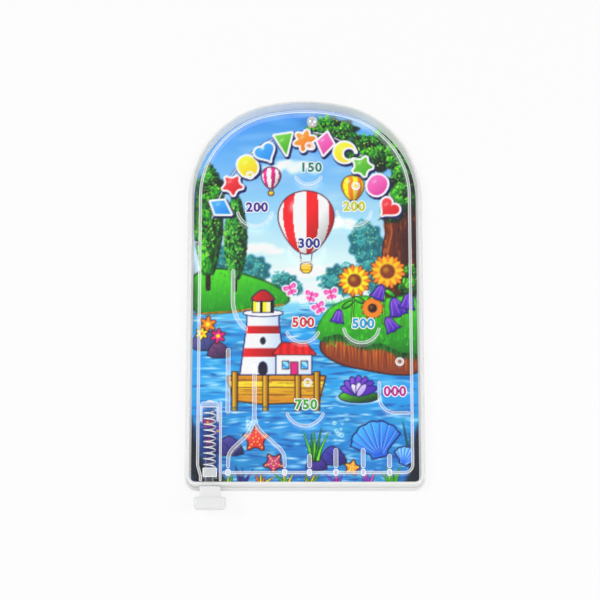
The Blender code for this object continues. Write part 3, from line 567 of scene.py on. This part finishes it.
def lily(p, x, y):
    """A water lily on its leaf."""
    p.form(oval(x, y - 2.6, 9.5, 2.6), FOAM, soft=1.6, strength=0.85)
    p.outlined(oval(x, y - 2.0, 8.2, 2.4), shaded(LEAF_LIGHT, LEAF_DARK, x, y - 2, 8, 3), NAVY, 0.4)
    outer = (np.linspace(-1.25, 1.25, 7), 3.6, 3.2, -0.5, 4.2, 1.5, VIOLET_LIGHT, VIOLET, 0.4)
    inner = ((-0.6, 0, 0.6), 2.1, 1.6, -0.6, 3.0, 1.2, WHITE, VIOLET_LIGHT, 0.3)
    for fan, rx, ry, drop, long, wide, light, dark, rim in (outer, inner):
        for k in fan:
            a = pi / 2 - k
            petal = oval(x + rx * cos(a), y + ry * sin(a) + drop, long, wide, a)
            p.outlined(petal, shaded(light, dark, x, y, 5, 5), NAVY, rim)


def festoon_shapes():
    """Outlines of one unit for the festoon under the arch, each about ten millimetres across."""
    t = turns(36)
    waves = 13 * np.cos(t) - 5 * np.cos(2 * t) - 2 * np.cos(3 * t) - np.cos(4 * t)
    horns = np.linspace(0.6, 2 * pi - 0.6, 24)
    outer = pairs(4.9 * np.cos(horns), 4.9 * np.sin(horns))
    inner = pairs(2.2 + 3.3 * np.cos(horns), 3.3 * np.sin(horns))[::-1]
    return {
        "star": softened(star(0, 0, 5.6, 0.5, pi / 2), 1),
        "heart": pairs(16 * np.sin(t) ** 3, waves) / 3.4,
        "kite": "0,5.6 3.9,0.6 0,-5.6 -3.9,0.6",
        "flower": petalled(0, 0, 5.2, 6, 0.4, 0.3, 72),
        "lantern": softened("-2,5 2,5 4.4,2.2 4.4,-2.2 2,-5 -2,-5 -4.4,-2.2 -4.4,2.2", 1),
        "moon": np.concatenate([outer, inner]),
        "pennant": "-4.2,4.6 4.2,4.6 0,-5.6",
    }


FESTOON = "kite star lantern heart pennant flower kite moon star lantern heart".split()
FESTOON_TONES = CYAN, RED, YELLOW, CYAN, GREEN, ORANGE, PINK, YELLOW, GREEN, PINK, RED


def festoon(p):
    """Bright paper shapes hung along the arch, white-rimmed with a dark shadow."""
    units = festoon_shapes()
    way = [(58.5 * cos(a) * 0.72, 17 + 58.5 * sin(a)) for a in np.radians(np.linspace(160, 20, 30))]
    p.line(way, 0.9, NAVY, 0.6, 0.8)
    p.line(way, 0.4, WHITE)
    for name, tone, a in zip(FESTOON, FESTOON_TONES, np.radians(np.linspace(152, 28, len(FESTOON)))):
        x, y = 56.5 * cos(a) * 0.72, 15 + 56.5 * sin(a)
        points = placed(units[name], x, y, (a - pi / 2) * 0.8 + about(0, 0.08), 0.92)
        p.form(points + [0.5, -0.7], NAVY, grow=1.25)
        p.form(points, WHITE, grow=0.85)
        p.form(points, shaded(mixed(tone, WHITE, 0.22), mixed(tone, BLACK, 0.12), x, y, 4, 4))
        p.dab(x - 1.2, y + 1.6, 1.6, 0.9, mixed(tone, WHITE, 0.6), 0.6, 1, 0.7)


def edge_shade_and_dark_patches(p):
    """Painted shade along the card's edges, a dark patch in the plunger's channel, and darkening in both lower
    corners.
    """
    # painted shade along the card's edges
    for x, y, rx, ry, strength in spots("48,60,6,22,0.6 -48,44,4.5,24,0.6 -48,4,3.5,20,0.5"):
        p.dab(x, y, rx, ry, ink("0a1730"), 0, 0.8, strength)
    p.dab(-39.5, -62, 5.6, 21, ink("16246a"), 0, 0.7, 0.86)
    flowers = ((-40.6, -51.5, 2.6, MAGENTA), (-36.4, -55, 2.2, VIOLET_LIGHT), (-40.2, -59.5, 1.8, MAGENTA))
    for x, y, r, tone in flowers:
        p.form(petalled(x, y, r, 5, 0.5, 0.3, 50), mixed(tone, NAVY, 0.2), soft=0.6, strength=0.9)
        p.dab(x, y, r * 0.35, r * 0.35, YELLOW, 0, 0.6, 0.8)
    left = softened("-49,-46 -46.4,-52 -44.6,-62 -42.5,-69 -39,-72.6 -33.8,-73.4 -33.6,-78.5 -49,-79")
    p.form(left, ink("0c2230"), soft=2.4, strength=0.97)
    right = softened("49,-50 45.4,-56 44.8,-66 43.5,-73 39,-78.5 49,-79")
    p.form(right, ink("0c2233"), soft=2.4, strength=0.96)


def enrich(p):
    """Prints the whole picture a little stronger and deeper."""
    grey = p.colour.mean(2, keepdims=True)
    p.colour = np.clip(grey + (p.colour - grey) * 0.98, 0, 1)
    p.colour = np.clip((p.colour - 0.5) * 1.28 + 0.495, 0, 1)


def paint_card():
    p = Picture()
    sky_and_water(p)
    p.each(cloud, "-6,58,7 14,33,6 -20,22,6 4,12,7 24,62,5")
    for crown in spots("-22,14,8,7 -8,8,6,5 14,10,7,7 26,26,8,10 29,12,7,8 -36,18,8,7"):
        leaves(p, *crown, TEALS, 4.5, 1.5)
    meadow(p)
    poplar(p, -41, 12, 50, 15, GREENS)
    poplar(p, -29.5, 10, 38, 12, inks("07301f 2b8f3c 67c94a"))
    cliff(p)
    for crown in spots("30,66,16,9 44,52,9,12 12,76,12,6 -40,50,6,8 38,40,5,5 44,8,5,8"):
        leaves(p, *crown, GREENS, 5, 1.7)
    balloon(p, 0.5, 35.5, 12.6, [RED, WHITE], 0.2)
    balloon(p, 20.5, 50.5, 5.0, [YELLOW, ORANGE], 0.26)
    balloon(p, -14.5, 55.0, 4.2, [MAGENTA, WHITE], 0.26)
    mound(p)
    stem(p, "20,-8 20.5,2 21,8", "18,-1,0.6 23,1,-0.5")
    stem(p, "33,-9 33.5,0 34,12", "31,1,0.7 36,4,-0.6")
    stem(p, "41,-10 41.5,-2 42,3", "39,-5,0.5")
    sunflower(p, 21, 9.5, 7.0, YELLOW, BARK_MID)
    sunflower(p, 35, 13.5, 7.6, ink("ffc21a"), BARK_MID, 0.4)
    sunflower(p, 28.5, -2.5, 4.6, ORANGE, BARK_DARK, 0.2)
    p.each(bellflower, "38.5,-2,4,0.3 31.5,4.5,3.2,-0.4 43.5,0.5,3.4,-0.2 36,-9.5,3.2,0.5 14,-6,2.8,-0.2")
    p.each(butterfly, "-6,5.5,0.4 2.5,2.5,-0.3 11,3.5,0.2 6,-2.5,0.5")
    jetty(p)
    lighthouse(p)
    rock(p, -42, -17, 6, "7d6fb0 2c3f6a")
    rock(p, -36.5, -21, 4.6, "8a5a86 3b2a52")
    blossom(p, -41, -9.5, 3.6, ORANGE)
    blossom(p, -36.6, -14.5, 3.2, MAGENTA)
    blossom(p, -43.5, -13.5, 2.6, YELLOW)
    lily(p, 22.5, -38.5)
    p.each(bubbles, "15.5,-55,9,2.2 -23,-52,8,1.8")
    rock(p, -31.5, -62, 5.4, "6a5fb4 26265e")
    rock(p, 11.5, -66, 5.2, "5b58c2 28246a")
    rock(p, 4.5, -69, 4.2, "7a63c8 30246e")
    weed(p, 4, -67, 14, 5, (LEAF_DARK, LEAF_LIGHT, LEAF_MID))
    weed(p, 45, -72, 22, 4, inks("0c2f50 1f6a4a 2f8a5a"), -1)
    scallop(p, 29.5, -59.5, 10.6, *inks("5cc8fb 1a50c8"), 0.25)
    scallop(p, 42.0, -66, 5.2, *inks("9be0fd 2c6fdc"), -0.4)
    starfish(p, -20.5, -58.5, 6.4, ink("d8302c"), 0.3)
    starfish(p, -13.0, -68.5, 5.0, ink("b82a6a"), 0.9)
    starfish(p, 19.5, -70.5, 3.8, ORANGE, 0.1)
    for x, height, count, *tones in (
        (-26, 9, 4, BLACK, ink("3b4f9a"), VIOLET), (-32, 6, 3, LEAF_DARK, GREEN, YELLOW),
        (-8, 7, 4, LEAF_DARK, GREEN, PLANK_LIGHT), (13, 7, 3, NAVY, VIOLET_LIGHT, MAGENTA),
        (26, 8, 4, NAVY, VIOLET_LIGHT, PINK), (36, 9, 5, LEAF_DARK, GREEN, LEAF_LIGHT),
        (-18, 5, 4, BARK_DARK, ORANGE, YELLOW), (2, 5, 4, BARK_DARK, YELLOW, GREEN),
    ):
        weed(p, x, -77.5, height, count, tones)
    edge_shade_and_dark_patches(p)
    festoon(p)
    enrich(p)
    return p


# ---- meshes
MATERIALS = {}


def linked(name, data):
    """A new object in the scene."""
    thing = bpy.data.objects.new(name, data)
    bpy.context.scene.collection.objects.link(thing)
    return thing


def mesh_piece(name, verts, faces, body, material, smooth=True):
    mesh = bpy.data.meshes.new(name)
    mesh.from_pydata(verts, [], faces)
    mesh.validate()
    mesh.polygons.foreach_set("use_smooth", [smooth] * len(mesh.polygons))
    mesh.materials.append(MATERIALS[material])
    piece = linked(name, mesh)
    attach(piece, body)
    return piece


def give_ink(piece, colours):
    """Keeps a colour for every point of a printed mesh."""
    rgba = np.ones((len(piece.data.vertices), 4), np.float32)
    rgba[:, :3] = linear(colours)
    piece.data.color_attributes.new("ink", "FLOAT_COLOR", "POINT").data.foreach_set("color", rgba.ravel())


def card_print():
    p = paint_card()
    rows, cols = p.x.shape
    verts = np.stack([p.x * MM, p.y * MM, np.full(p.x.shape, PRINT_Z * MM)], 2).reshape(-1, 3)
    corner = (np.arange(rows - 1)[:, None] * cols + np.arange(cols - 1)).ravel()
    faces = np.stack([corner, corner + 1, corner + cols + 1, corner + cols], 1)
    piece = mesh_piece("card_print", verts.tolist(), faces.tolist(), "case", "card_print")
    give_ink(piece, p.colour.reshape(-1, 3))


NUMBERS = """
150 2.6 59.4 1c8a78
200 -20.5 41.6 4b2a9c
200 21 42 cfd420
300 1.7 25.7 2a2f96
500 -0.8 -8.8 e23a44
500 24.5 -9.3 23a6dc
750 0.4 -44 3fae2c
000 37.6 -38.4 c8189a
"""  # score, place, colour
NUMBER_SIZE, NUMBER_SPACING = 5.6 * MM, 1.16


def number_mesh(text, x, y, fatten, height):
    """One printed score as a flat mesh, drawn with the built-in letters."""
    curve = bpy.data.curves.new("score", "FONT")
    curve.body = text
    curve.size = NUMBER_SIZE
    curve.offset = fatten * MM
    curve.align_x = curve.align_y = "CENTER"
    curve.space_character = NUMBER_SPACING
    curve.resolution_u = 6
    thing = linked("score", curve)
    bpy.context.view_layer.update()
    graph = bpy.context.evaluated_depsgraph_get()
    mesh = bpy.data.meshes.new_from_object(thing.evaluated_get(graph))
    bpy.data.objects.remove(thing)
    bm = bmesh.new()
    bm.from_mesh(mesh)
    bmesh.ops.remove_doubles(bm, verts=bm.verts, dist=1e-7)
    verts = [(v.co.x + x * MM, v.co.y + y * MM, height) for v in bm.verts]
    faces = [[v.index for v in f.verts] for f in bm.faces]
    bm.free()
    bpy.data.meshes.remove(mesh)
    return verts, faces


def card_numbers():
    """The scores, each on a fatter white copy of itself that shows as a rim."""
    for name, fatten, lift in (("score_rims", 0.6, 0.03), ("score_numbers", 0.2, 0.05)):
        verts, faces, tones = [], [], []
        for text, x, y, tone in map(str.split, NUMBERS.strip().splitlines()):
            v, f = number_mesh(text, float(x), float(y), fatten, (PRINT_Z + lift) * MM)
            faces += [[i + len(verts) for i in face] for face in f]
            verts += v
            tones += [WHITE if name == "score_rims" else ink(tone)] * len(v)
        piece = mesh_piece(name, verts, faces, "case", "card_print", False)
        give_ink(piece, np.array(tones))


def ring(sides):
    """The cosine and sine of each even step round a circle."""
    return [(cos(2 * pi * k / sides), sin(2 * pi * k / sides)) for k in range(sides)]


def bridged(rings, sides, first=0, downward=False):
    """Faces between rings of points that follow each other."""
    faces = []
    for i in range(rings - 1):
        for k in range(sides):
            a, b = first + i * sides + k, first + i * sides + (k + 1) % sides
            faces.append((a, a + sides, b + sides, b) if downward else (a, b, b + sides, a + sides))
    return faces


# ---- plunger spring and ball
SPRING_AXIS_Z, SPRING_RADIUS, WIRE_RADIUS = 5.75 * MM, 2.4 * MM, 0.3 * MM
SPRING_TURNS, STEPS_PER_TURN, WIRE_SIDES = 10, 36, 10


def tube(points, radius, sides):
    """A round wire along some points, closed at both ends."""
    verts, normal = [], None
    for i, point in enumerate(points):
        ahead = (points[min(i + 1, len(points) - 1)] - points[max(i - 1, 0)]).normalized()
        if normal is None:
            normal = ahead.orthogonal()
        normal = (normal - ahead * normal.dot(ahead)).normalized()
        across = ahead.cross(normal)
        verts += [point + (normal * c + across * s) * radius for c, s in ring(sides)]
    last = len(verts) - sides
    ends = [range(sides)[::-1], range(last, last + sides)]
    return verts, bridged(len(points), sides) + ends


def spring_wire():
    """The plunger's spring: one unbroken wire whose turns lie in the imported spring's space."""
    low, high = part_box("plunger_spring")
    axis_x = (low.x + high.x) / 2
    start, end = low.y + WIRE_RADIUS, high.y - WIRE_RADIUS
    steps = SPRING_TURNS * STEPS_PER_TURN
    points = []
    for i in range(steps + 1):
        a = 2 * pi * i / STEPS_PER_TURN
        y = start + (end - start) * i / steps
        points.append(Vector((axis_x + SPRING_RADIUS * cos(a), y, SPRING_AXIS_Z + SPRING_RADIUS * sin(a))))
    verts, faces = tube(points, WIRE_RADIUS, WIRE_SIDES)
    piece = mesh_piece("spring_coil", verts, faces, "case", "drawn_wire")
    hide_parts("plunger_spring")
    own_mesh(piece)


def chrome_ball():
    """The steel ball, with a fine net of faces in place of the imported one."""
    low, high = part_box("steel_ball")
    centre, radius = (low + high) / 2, (high.x - low.x) / 2
    rings, sides = 32, 48
    pole = Vector((0, 0, radius))
    verts = [centre + pole]
    for i in range(1, rings):
        t = pi * i / rings
        verts += [centre + Vector((sin(t) * c, sin(t) * s, cos(t))) * radius for c, s in ring(sides)]
    verts.append(centre - pole)
    last = len(verts) - 1
    faces = [(0, 1 + k, 1 + (k + 1) % sides) for k in range(sides)] + bridged(rings - 1, sides, 1, True)
    faces += [(last, last - sides + (k + 1) % sides, last - sides + k) for k in range(sides)]
    piece = mesh_piece("chrome_ball", verts, faces, "ball", "chrome")
    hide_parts("steel_ball")


# ---- materials
class Tree:
    """A tree of shader nodes, with short ways to add and join them."""

    def __init__(self, tree):
        self.tree = tree

    def own(self, kind):
        """The tree's own node of a kind, or a new one where it has none."""
        kind = "ShaderNode" + kind
        return next((n for n in self.tree.nodes if n.bl_idname == kind), None) or self.tree.nodes.new(kind)

    def feed(self, node, inputs):
        """Gives a node's inputs a value each, or joins them to a socket or to a node's first output."""
        for key, value in inputs.items():
            if isinstance(value, bpy.types.Node):
                value = value.outputs[0]
            if isinstance(value, bpy.types.NodeSocket):
                self.tree.links.new(value, node.inputs[key])
            else:
                node.inputs[key].default_value = value
        return node

    def add(self, kind, inputs=None, **settings):
        node = self.tree.nodes.new("ShaderNode" + kind)
        for key, value in settings.items():
            setattr(node, key, value)
        return self.feed(node, inputs or {})

    def math(self, operation, *terms):
        return self.add("Math", dict(enumerate(terms)), operation=operation)

    def ramp(self, value, low, high, first, last, kind="LINEAR"):
        """Runs from the first value to the last while another one runs from low to high."""
        ends = {"Value": value, "From Min": low, "From Max": high, "To Min": first, "To Max": last}
        return self.add("MapRange", ends, interpolation_type=kind)

    def blend(self, share, first, second):
        return self.add("MixShader", {0: share, 1: first, 2: second})

    def place(self, kind, axis):
        """One axis of a place's coordinates or of its normal."""
        return self.add("SeparateXYZ", {0: self.add("TexCoord").outputs[kind]}).outputs[axis]

    def flatness(self):
        """One where a piece lies flat, and zero on its upright walls."""
        return self.math("ABSOLUTE", self.place("Normal", "Z"))

    def seen_by(self, *rays):
        """One for the kinds of ray named, and zero for all others."""
        path = self.add("LightPath").outputs
        share, *others = (path[f"Is {ray} Ray"] for ray in rays)
        for other in others:
            share = self.math("MAXIMUM", share, other)
        return share


class Surface(Tree):
    """One material, with its shader."""

    def __init__(self, name):
        material = MATERIALS[name] = bpy.data.materials.new(name)
        material.use_nodes = True
        super().__init__(material.node_tree)
        self.shader = self.own("BsdfPrincipled")
        self.show(self.shader)

    def show(self, shader):
        self.feed(self.own("OutputMaterial"), {"Surface": shader})

    def set(self, **values):
        self.feed(self.shader, {key.replace("_", " "): value for key, value in values.items()})


def group_tree(name, inputs, outputs):
    """A node group, its inputs with their values, and its outputs."""
    tree = bpy.data.node_groups.new(name, "ShaderNodeTree")
    kinds = {"Tone": "NodeSocketColor", "Color": "NodeSocketColor"}
    for label, value in inputs.items():
        kind = kinds.get(label, "NodeSocketFloat")
        tree.interface.new_socket(label, in_out="INPUT", socket_type=kind).default_value = value
    for label in outputs:
        tree.interface.new_socket(label, in_out="OUTPUT", socket_type=kinds.get(label, "NodeSocketFloat"))
    return Tree(tree), tree.nodes.new("NodeGroupInput").outputs, tree.nodes.new("NodeGroupOutput")


def moulded_skin():
    """Faint mottling and flow marks of moulded plastic: a tone, a roughness and a height."""
    inputs = {"Tone": (1, 1, 1, 1), "Depth": 0.06, "Size": 300.0, "Roughness": 0.3}
    group, given, end = group_tree("moulded_skin", inputs, ("Color", "Roughness", "Height"))
    place = group.add("TexCoord").outputs["Object"]
    broad = group.add("TexNoise", {"Vector": place, "Scale": given["Size"], "Detail": 4.0})
    size = group.math("MULTIPLY", given["Size"], 7.0)
    fine = group.add("TexNoise", {"Vector": place, "Scale": size, "Detail": 2.0}).outputs["Fac"]
    darken = group.math("MULTIPLY", broad.outputs["Fac"], given["Depth"])
    tones = {"Factor": darken, "A": given["Tone"], "B": (0.35, 0.37, 0.4, 1)}
    mix = group.add("Mix", tones, data_type="RGBA")
    rough = group.math("MULTIPLY_ADD", fine, 0.12, given["Roughness"])
    group.feed(end, {"Color": mix.outputs["Result"], "Roughness": rough, "Height": fine})
    return group.tree


def moulded_edge():
    """How much of a clear moulding shows: most on its rounded edges, which are painted white as highlights,
    some on walls, least on flats.

    Foot is the share of it that is left below the moulding's top rim."""
    inputs = {"Wall": 0.2, "Edge": 0.9, "Flat": 0.08, "Foot": 1.0}
    group, given, end = group_tree("moulded_edge", inputs, ("Alpha",))
    flat = group.flatness()
    rise = group.ramp(flat, 0.08, 0.25, given["Wall"], given["Edge"], "SMOOTHSTEP")
    fall = group.ramp(flat, 0.972, 0.998, 1.0, given["Flat"], "SMOOTHSTEP")
    top = group.ramp(group.place("Object", "Z"), 8.3 * MM, 8.7 * MM, given["Foot"], 1.0)
    group.feed(end, {"Alpha": group.math("MULTIPLY", group.math("MINIMUM", rise, fall), top)})
    return group.tree


def plain_moulded(name, skin, tone, roughness, depth, size, bump):
    s = Surface(name)
    marks = {"Tone": (*tone, 1), "Depth": depth, "Size": size, "Roughness": roughness}
    g = s.add("Group", marks, node_tree=skin).outputs
    relief = s.add("Bump", {"Height": g["Height"], "Strength": bump, "Distance": 0.0001})
    s.set(Base_Color=g["Color"], Roughness=g["Roughness"], Normal=relief)
    return s


def card_ink(skin):
    """The print: its own colours, with the faintest mottling."""
    s = Surface("card_print")
    colour = s.add("VertexColor", layer_name="ink").outputs["Color"]
    marks = {"Tone": colour, "Depth": 0.05, "Size": 700.0, "Roughness": 0.32}
    g = s.add("Group", marks, node_tree=skin).outputs
    s.set(Base_Color=g["Color"], Roughness=g["Roughness"], Specular_IOR_Level=0.08)


def clear_lid(skin):
    """The lid: clear, with a white haze where its moulded edges turn over, and a faint painted glow in that
    haze.

    Lamps and soft light pass through it, so that what lies under it is lit."""
    s = Surface("clear_lid")
    g = s.add("Group", {"Depth": 0.0, "Size": 120.0, "Roughness": 0.0}, node_tree=skin).outputs
    s.set(Base_Color=(0.985, 0.99, 0.995, 1), IOR=1.46, Specular_IOR_Level=0.15, Transmission_Weight=1.0)
    s.set(Roughness=s.math("MULTIPLY", g["Roughness"], 0.2))
    white = {"Base Color": (0.85, 0.855, 0.84, 1), "Roughness": 0.4, "Specular IOR Level": 0.12}
    # the haze's faint emission is a painted glow
    glow = {"Emission Color": (1.0, 0.98, 0.95, 1), "Emission Strength": 0.03}
    haze = s.add("BsdfPrincipled", {**white, **glow})
    flat = s.flatness()
    share = s.math("MINIMUM", s.ramp(flat, 0.05, 0.3, 0.8, 0.86), s.ramp(flat, 0.95, 0.998, 1.0, 0.0))
    surface = s.blend(share, s.shader, haze)
    s.show(s.blend(s.seen_by("Shadow", "Diffuse"), surface, s.add("BsdfTransparent")))


def clear_moulding(name, skin, edge, wall, turned, flat, foot):
    """A thin clear moulding: its turned edges show as painted white highlights, its flats hardly, and its
    inside not at all, and all of it has a faint painted glow.
    """
    s = plain_moulded(name, skin, (0.96, 0.985, 1.0), 0.12, 0.03, 400.0, 0.1)
    shares = {"Wall": wall, "Edge": turned, "Flat": flat, "Foot": foot}
    shown = s.add("Group", shares, node_tree=edge).outputs["Alpha"]
    front = s.math("SUBTRACT", 1.0, s.add("NewGeometry").outputs["Backfacing"])
    # a faint emission: painted glow over the whole moulding
    s.set(Emission_Color=(0.9, 0.97, 1.0, 1), Emission_Strength=0.1, Alpha=s.math("MULTIPLY", shown, front))
    s.show(s.blend(s.seen_by("Shadow"), s.shader, s.add("BsdfTransparent")))


def clear_shaft(skin):
    """The plunger's shaft: two soft grey lines of painted shade where its sides turn away, fainter inside the
    coil.
    """
    s = plain_moulded("clear_shaft", skin, (0.58, 0.62, 0.68), 0.12, 0.03, 400.0, 0.1)
    # painted shade on the sides that turn away
    sides = s.ramp(s.flatness(), 0.35, 0.82, 0.66, 0.06)
    inside = s.ramp(s.place("Object", "Y"), -72 * MM, -66 * MM, 1.0, 0.12)
    s.set(Alpha=s.math("MULTIPLY", sides, inside))


def make_materials():
    skin, edge = moulded_skin(), moulded_edge()
    # tone, roughness, depth and size of the mottling, height of the relief, share of metal
    for name, *finish, metal in (
        ("milky_tray", (0.8, 0.805, 0.8), 0.28, 0.08, 160.0, 0.15, 0.0),
        ("frosted_plunger", (0.86, 0.86, 0.865), 0.32, 0.14, 260.0, 0.2, 0.0),
        ("card_stock", (0.82, 0.82, 0.8), 0.6, 0.15, 900.0, 0.3, 0.0),
        ("chrome", (0.9, 0.89, 0.9), 0.08, 0.12, 500.0, 0.02, 0.7),
        ("drawn_wire", (0.95, 0.95, 0.97), 0.2, 0.12, 900.0, 0.1, 0.45),
    ):
        plain_moulded(name, skin, *finish).set(Metallic=metal)
    card_ink(skin)
    clear_lid(skin)
    # how much shows on walls, on turned edges and on flats, and what is left of it below the top rim
    for name, *shares in (
        ("clear_rib", 0.24, 1.0, 0.3, 1.0),
        ("clear_rail", 0.24, 1.0, 0.42, 1.0),
        ("clear_peg", 0.5, 1.0, 0.62, 0.16),
        ("clear_seat", 0.5, 1.0, 0.6, 1.0),
        ("clear_plunger", 0.3, 0.8, 0.34, 1.0),
    ):
        clear_moulding(name, skin, edge, *shares)
    clear_shaft(skin)


FINISHES = dict(
    back_tray="milky_tray", printed_card="card_stock", front_cover="clear_lid", plunger_rod="clear_plunger",
    plunger_knob="frosted_plunger", spring_seat="clear_seat", plunger_spring="drawn_wire", steel_ball="chrome",
    guide_rail="clear_rail", pocket_wall="clear_rail",
)
ROUNDINGS = dict(
    clear_rib=0.62, clear_rail=0.62, clear_peg=0.4, clear_seat=0.36, clear_plunger=0.36, frosted_plunger=0.3,
    milky_tray=0.3, clear_lid=0.3,
)


def dress_packed_nodes():
    """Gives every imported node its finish, and rounds the moulded edges."""
    for name, node in NODES.items():
        finish = FINISHES.get(name, "clear_peg" if name.startswith("peg_") else "clear_rib")
        node.data.materials.clear()
        node.data.materials.append(MATERIALS[finish])
        if finish in ROUNDINGS:
            rounding = node.modifiers.new("rounded_edges", "BEVEL")
            rounding.width = ROUNDINGS[finish] * MM
            rounding.segments = 3
            rounding.angle_limit = radians(50)


SHAFT_REACH = 1.85 * MM


def thin_the_shaft():
    """The shaft inside the coil is clear enough to leave only the wire to be seen."""
    node = NODES["plunger_rod"]
    low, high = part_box("plunger_rod")
    spring_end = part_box("plunger_spring")[1].y
    axis_x = (low.x + high.x) / 2
    node.data.materials.append(MATERIALS["clear_shaft"])
    for face in node.data.polygons:
        centre = node.matrix_world @ face.center
        face.material_index = int(abs(centre.x - axis_x) < SHAFT_REACH and centre.y < spring_end)


POST_Y, LEG_TO_POST = -73.5 * MM, 0.75 * MM
DOME_RINGS = (1.12, 0.0), (1.08, 0.07), (0.95, 0.12), (0.65, 0.16), (0.3, 0.18)  # radius and rise
DOME_SIDES, DOME_RISE, DOME_STRETCH = 28, 0.185, 1.3


def post_glint_domes():
    """Low domes on the rail's posts, one under each funnel leg and each divider, that show as painted white
    glints.
    """
    low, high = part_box("centre_funnel")
    places = [low.x + LEG_TO_POST, high.x - LEG_TO_POST]
    for i in range(1, 5):
        low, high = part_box(f"slot_divider_{i}")
        places.append((low.x + high.x) / 2)
    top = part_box("guide_rail")[1].z
    verts, faces = [], []
    for x in places:
        first = len(verts)
        for radius, rise in DOME_RINGS:
            for c, s in ring(DOME_SIDES):
                y = POST_Y + radius * DOME_STRETCH * MM * s
                verts.append((x + radius * MM * c, y, top + rise * MM))
        last = len(verts) - DOME_SIDES
        verts.append((x, POST_Y, top + DOME_RISE * MM))
        faces += bridged(len(DOME_RINGS), DOME_SIDES, first)
        faces += [(last + k, last + (k + 1) % DOME_SIDES, last + DOME_SIDES) for k in range(DOME_SIDES)]
        faces.append(range(first, first + DOME_SIDES)[::-1])
    mesh_piece("post_glint_domes", verts, faces, "case", "clear_rail")


# ---- studio
FLOOR_REACH, FLOOR_DROP, FLOOR_GLOW = 3.0, 0.0002, 0.82
PANELS = (  # name, place, strength
    ("left_panel", (-0.8, 0.1, 0.85), 4.2),
    ("right_panel", (0.8, -0.1, 0.85), 3.8),
    ("front_panel", (0, -0.95, 0.5), 1.2),
)


def aimed(thing, place, toward):
    """Puts a lamp or a camera at a place, so that it looks one way."""
    thing.location = place
    thing.rotation_mode = "QUATERNION"
    thing.rotation_quaternion = toward.to_track_quat("-Z", "Y")


def studio():
    r = FLOOR_REACH
    mesh = bpy.data.meshes.new("studio_floor")
    mesh.from_pydata([(-r, -r, 0), (r, -r, 0), (r, r, 0), (-r, r, 0)], [], [(0, 1, 2, 3)])
    floor = linked("studio_floor", mesh)
    floor.location.z = -FLOOR_DROP
    s = Surface("studio_white")
    s.set(Base_Color=(0.9, 0.9, 0.9, 1), Roughness=0.9, Specular_IOR_Level=0.0)
    share = s.math("MULTIPLY", s.seen_by("Camera", "Glossy", "Transmission"), FLOOR_GLOW)
    s.show(s.blend(share, s.shader, s.add("Emission")))
    mesh.materials.append(MATERIALS["studio_white"])

    world = bpy.context.scene.world = bpy.data.worlds.new("studio_world")
    world.use_nodes = True
    sky = Tree(world.node_tree)
    soft = sky.ramp(sky.place("Generated", "Z"), 0.0, 1.0, 0.85, 0.4)
    level = sky.ramp(sky.seen_by("Camera"), 0.0, 1.0, soft, 1.0)
    light = sky.feed(sky.own("Background"), {"Color": (1, 1, 1, 1), "Strength": level})
    sky.feed(sky.own("OutputWorld"), {"Surface": light})

    for name, place, power in PANELS:
        lamp = bpy.data.lights.new(name, "AREA")
        lamp.size = 0.5
        lamp.energy = power
        thing = linked(name, lamp)
        thing.visible_glossy = name != "front_panel"
        aimed(thing, place, -Vector(place))


TARGET, LIFT, DISTANCE = Vector((-2.11, 1.66, 0)) * MM, radians(76.5), 892.04 * MM


def camera():
    """The photograph's viewpoint, fitted to the case's outline in it."""
    back = Vector((0, -cos(LIFT), sin(LIFT)))
    data = bpy.data.cameras.new("photo_view")
    data.lens, data.sensor_width = 126.3, 36.0
    data.clip_start, data.clip_end = 0.05, 20
    view = linked("photo_view", data)
    aimed(view, TARGET + back * DISTANCE, -back)
    bpy.context.scene.camera = view


bpy.context.scene.view_settings.view_transform = "Standard"
camera()
studio()
make_materials()
dress_packed_nodes()
thin_the_shaft()
post_glint_domes()
card_print()
card_numbers()
spring_wire()
chrome_ball()
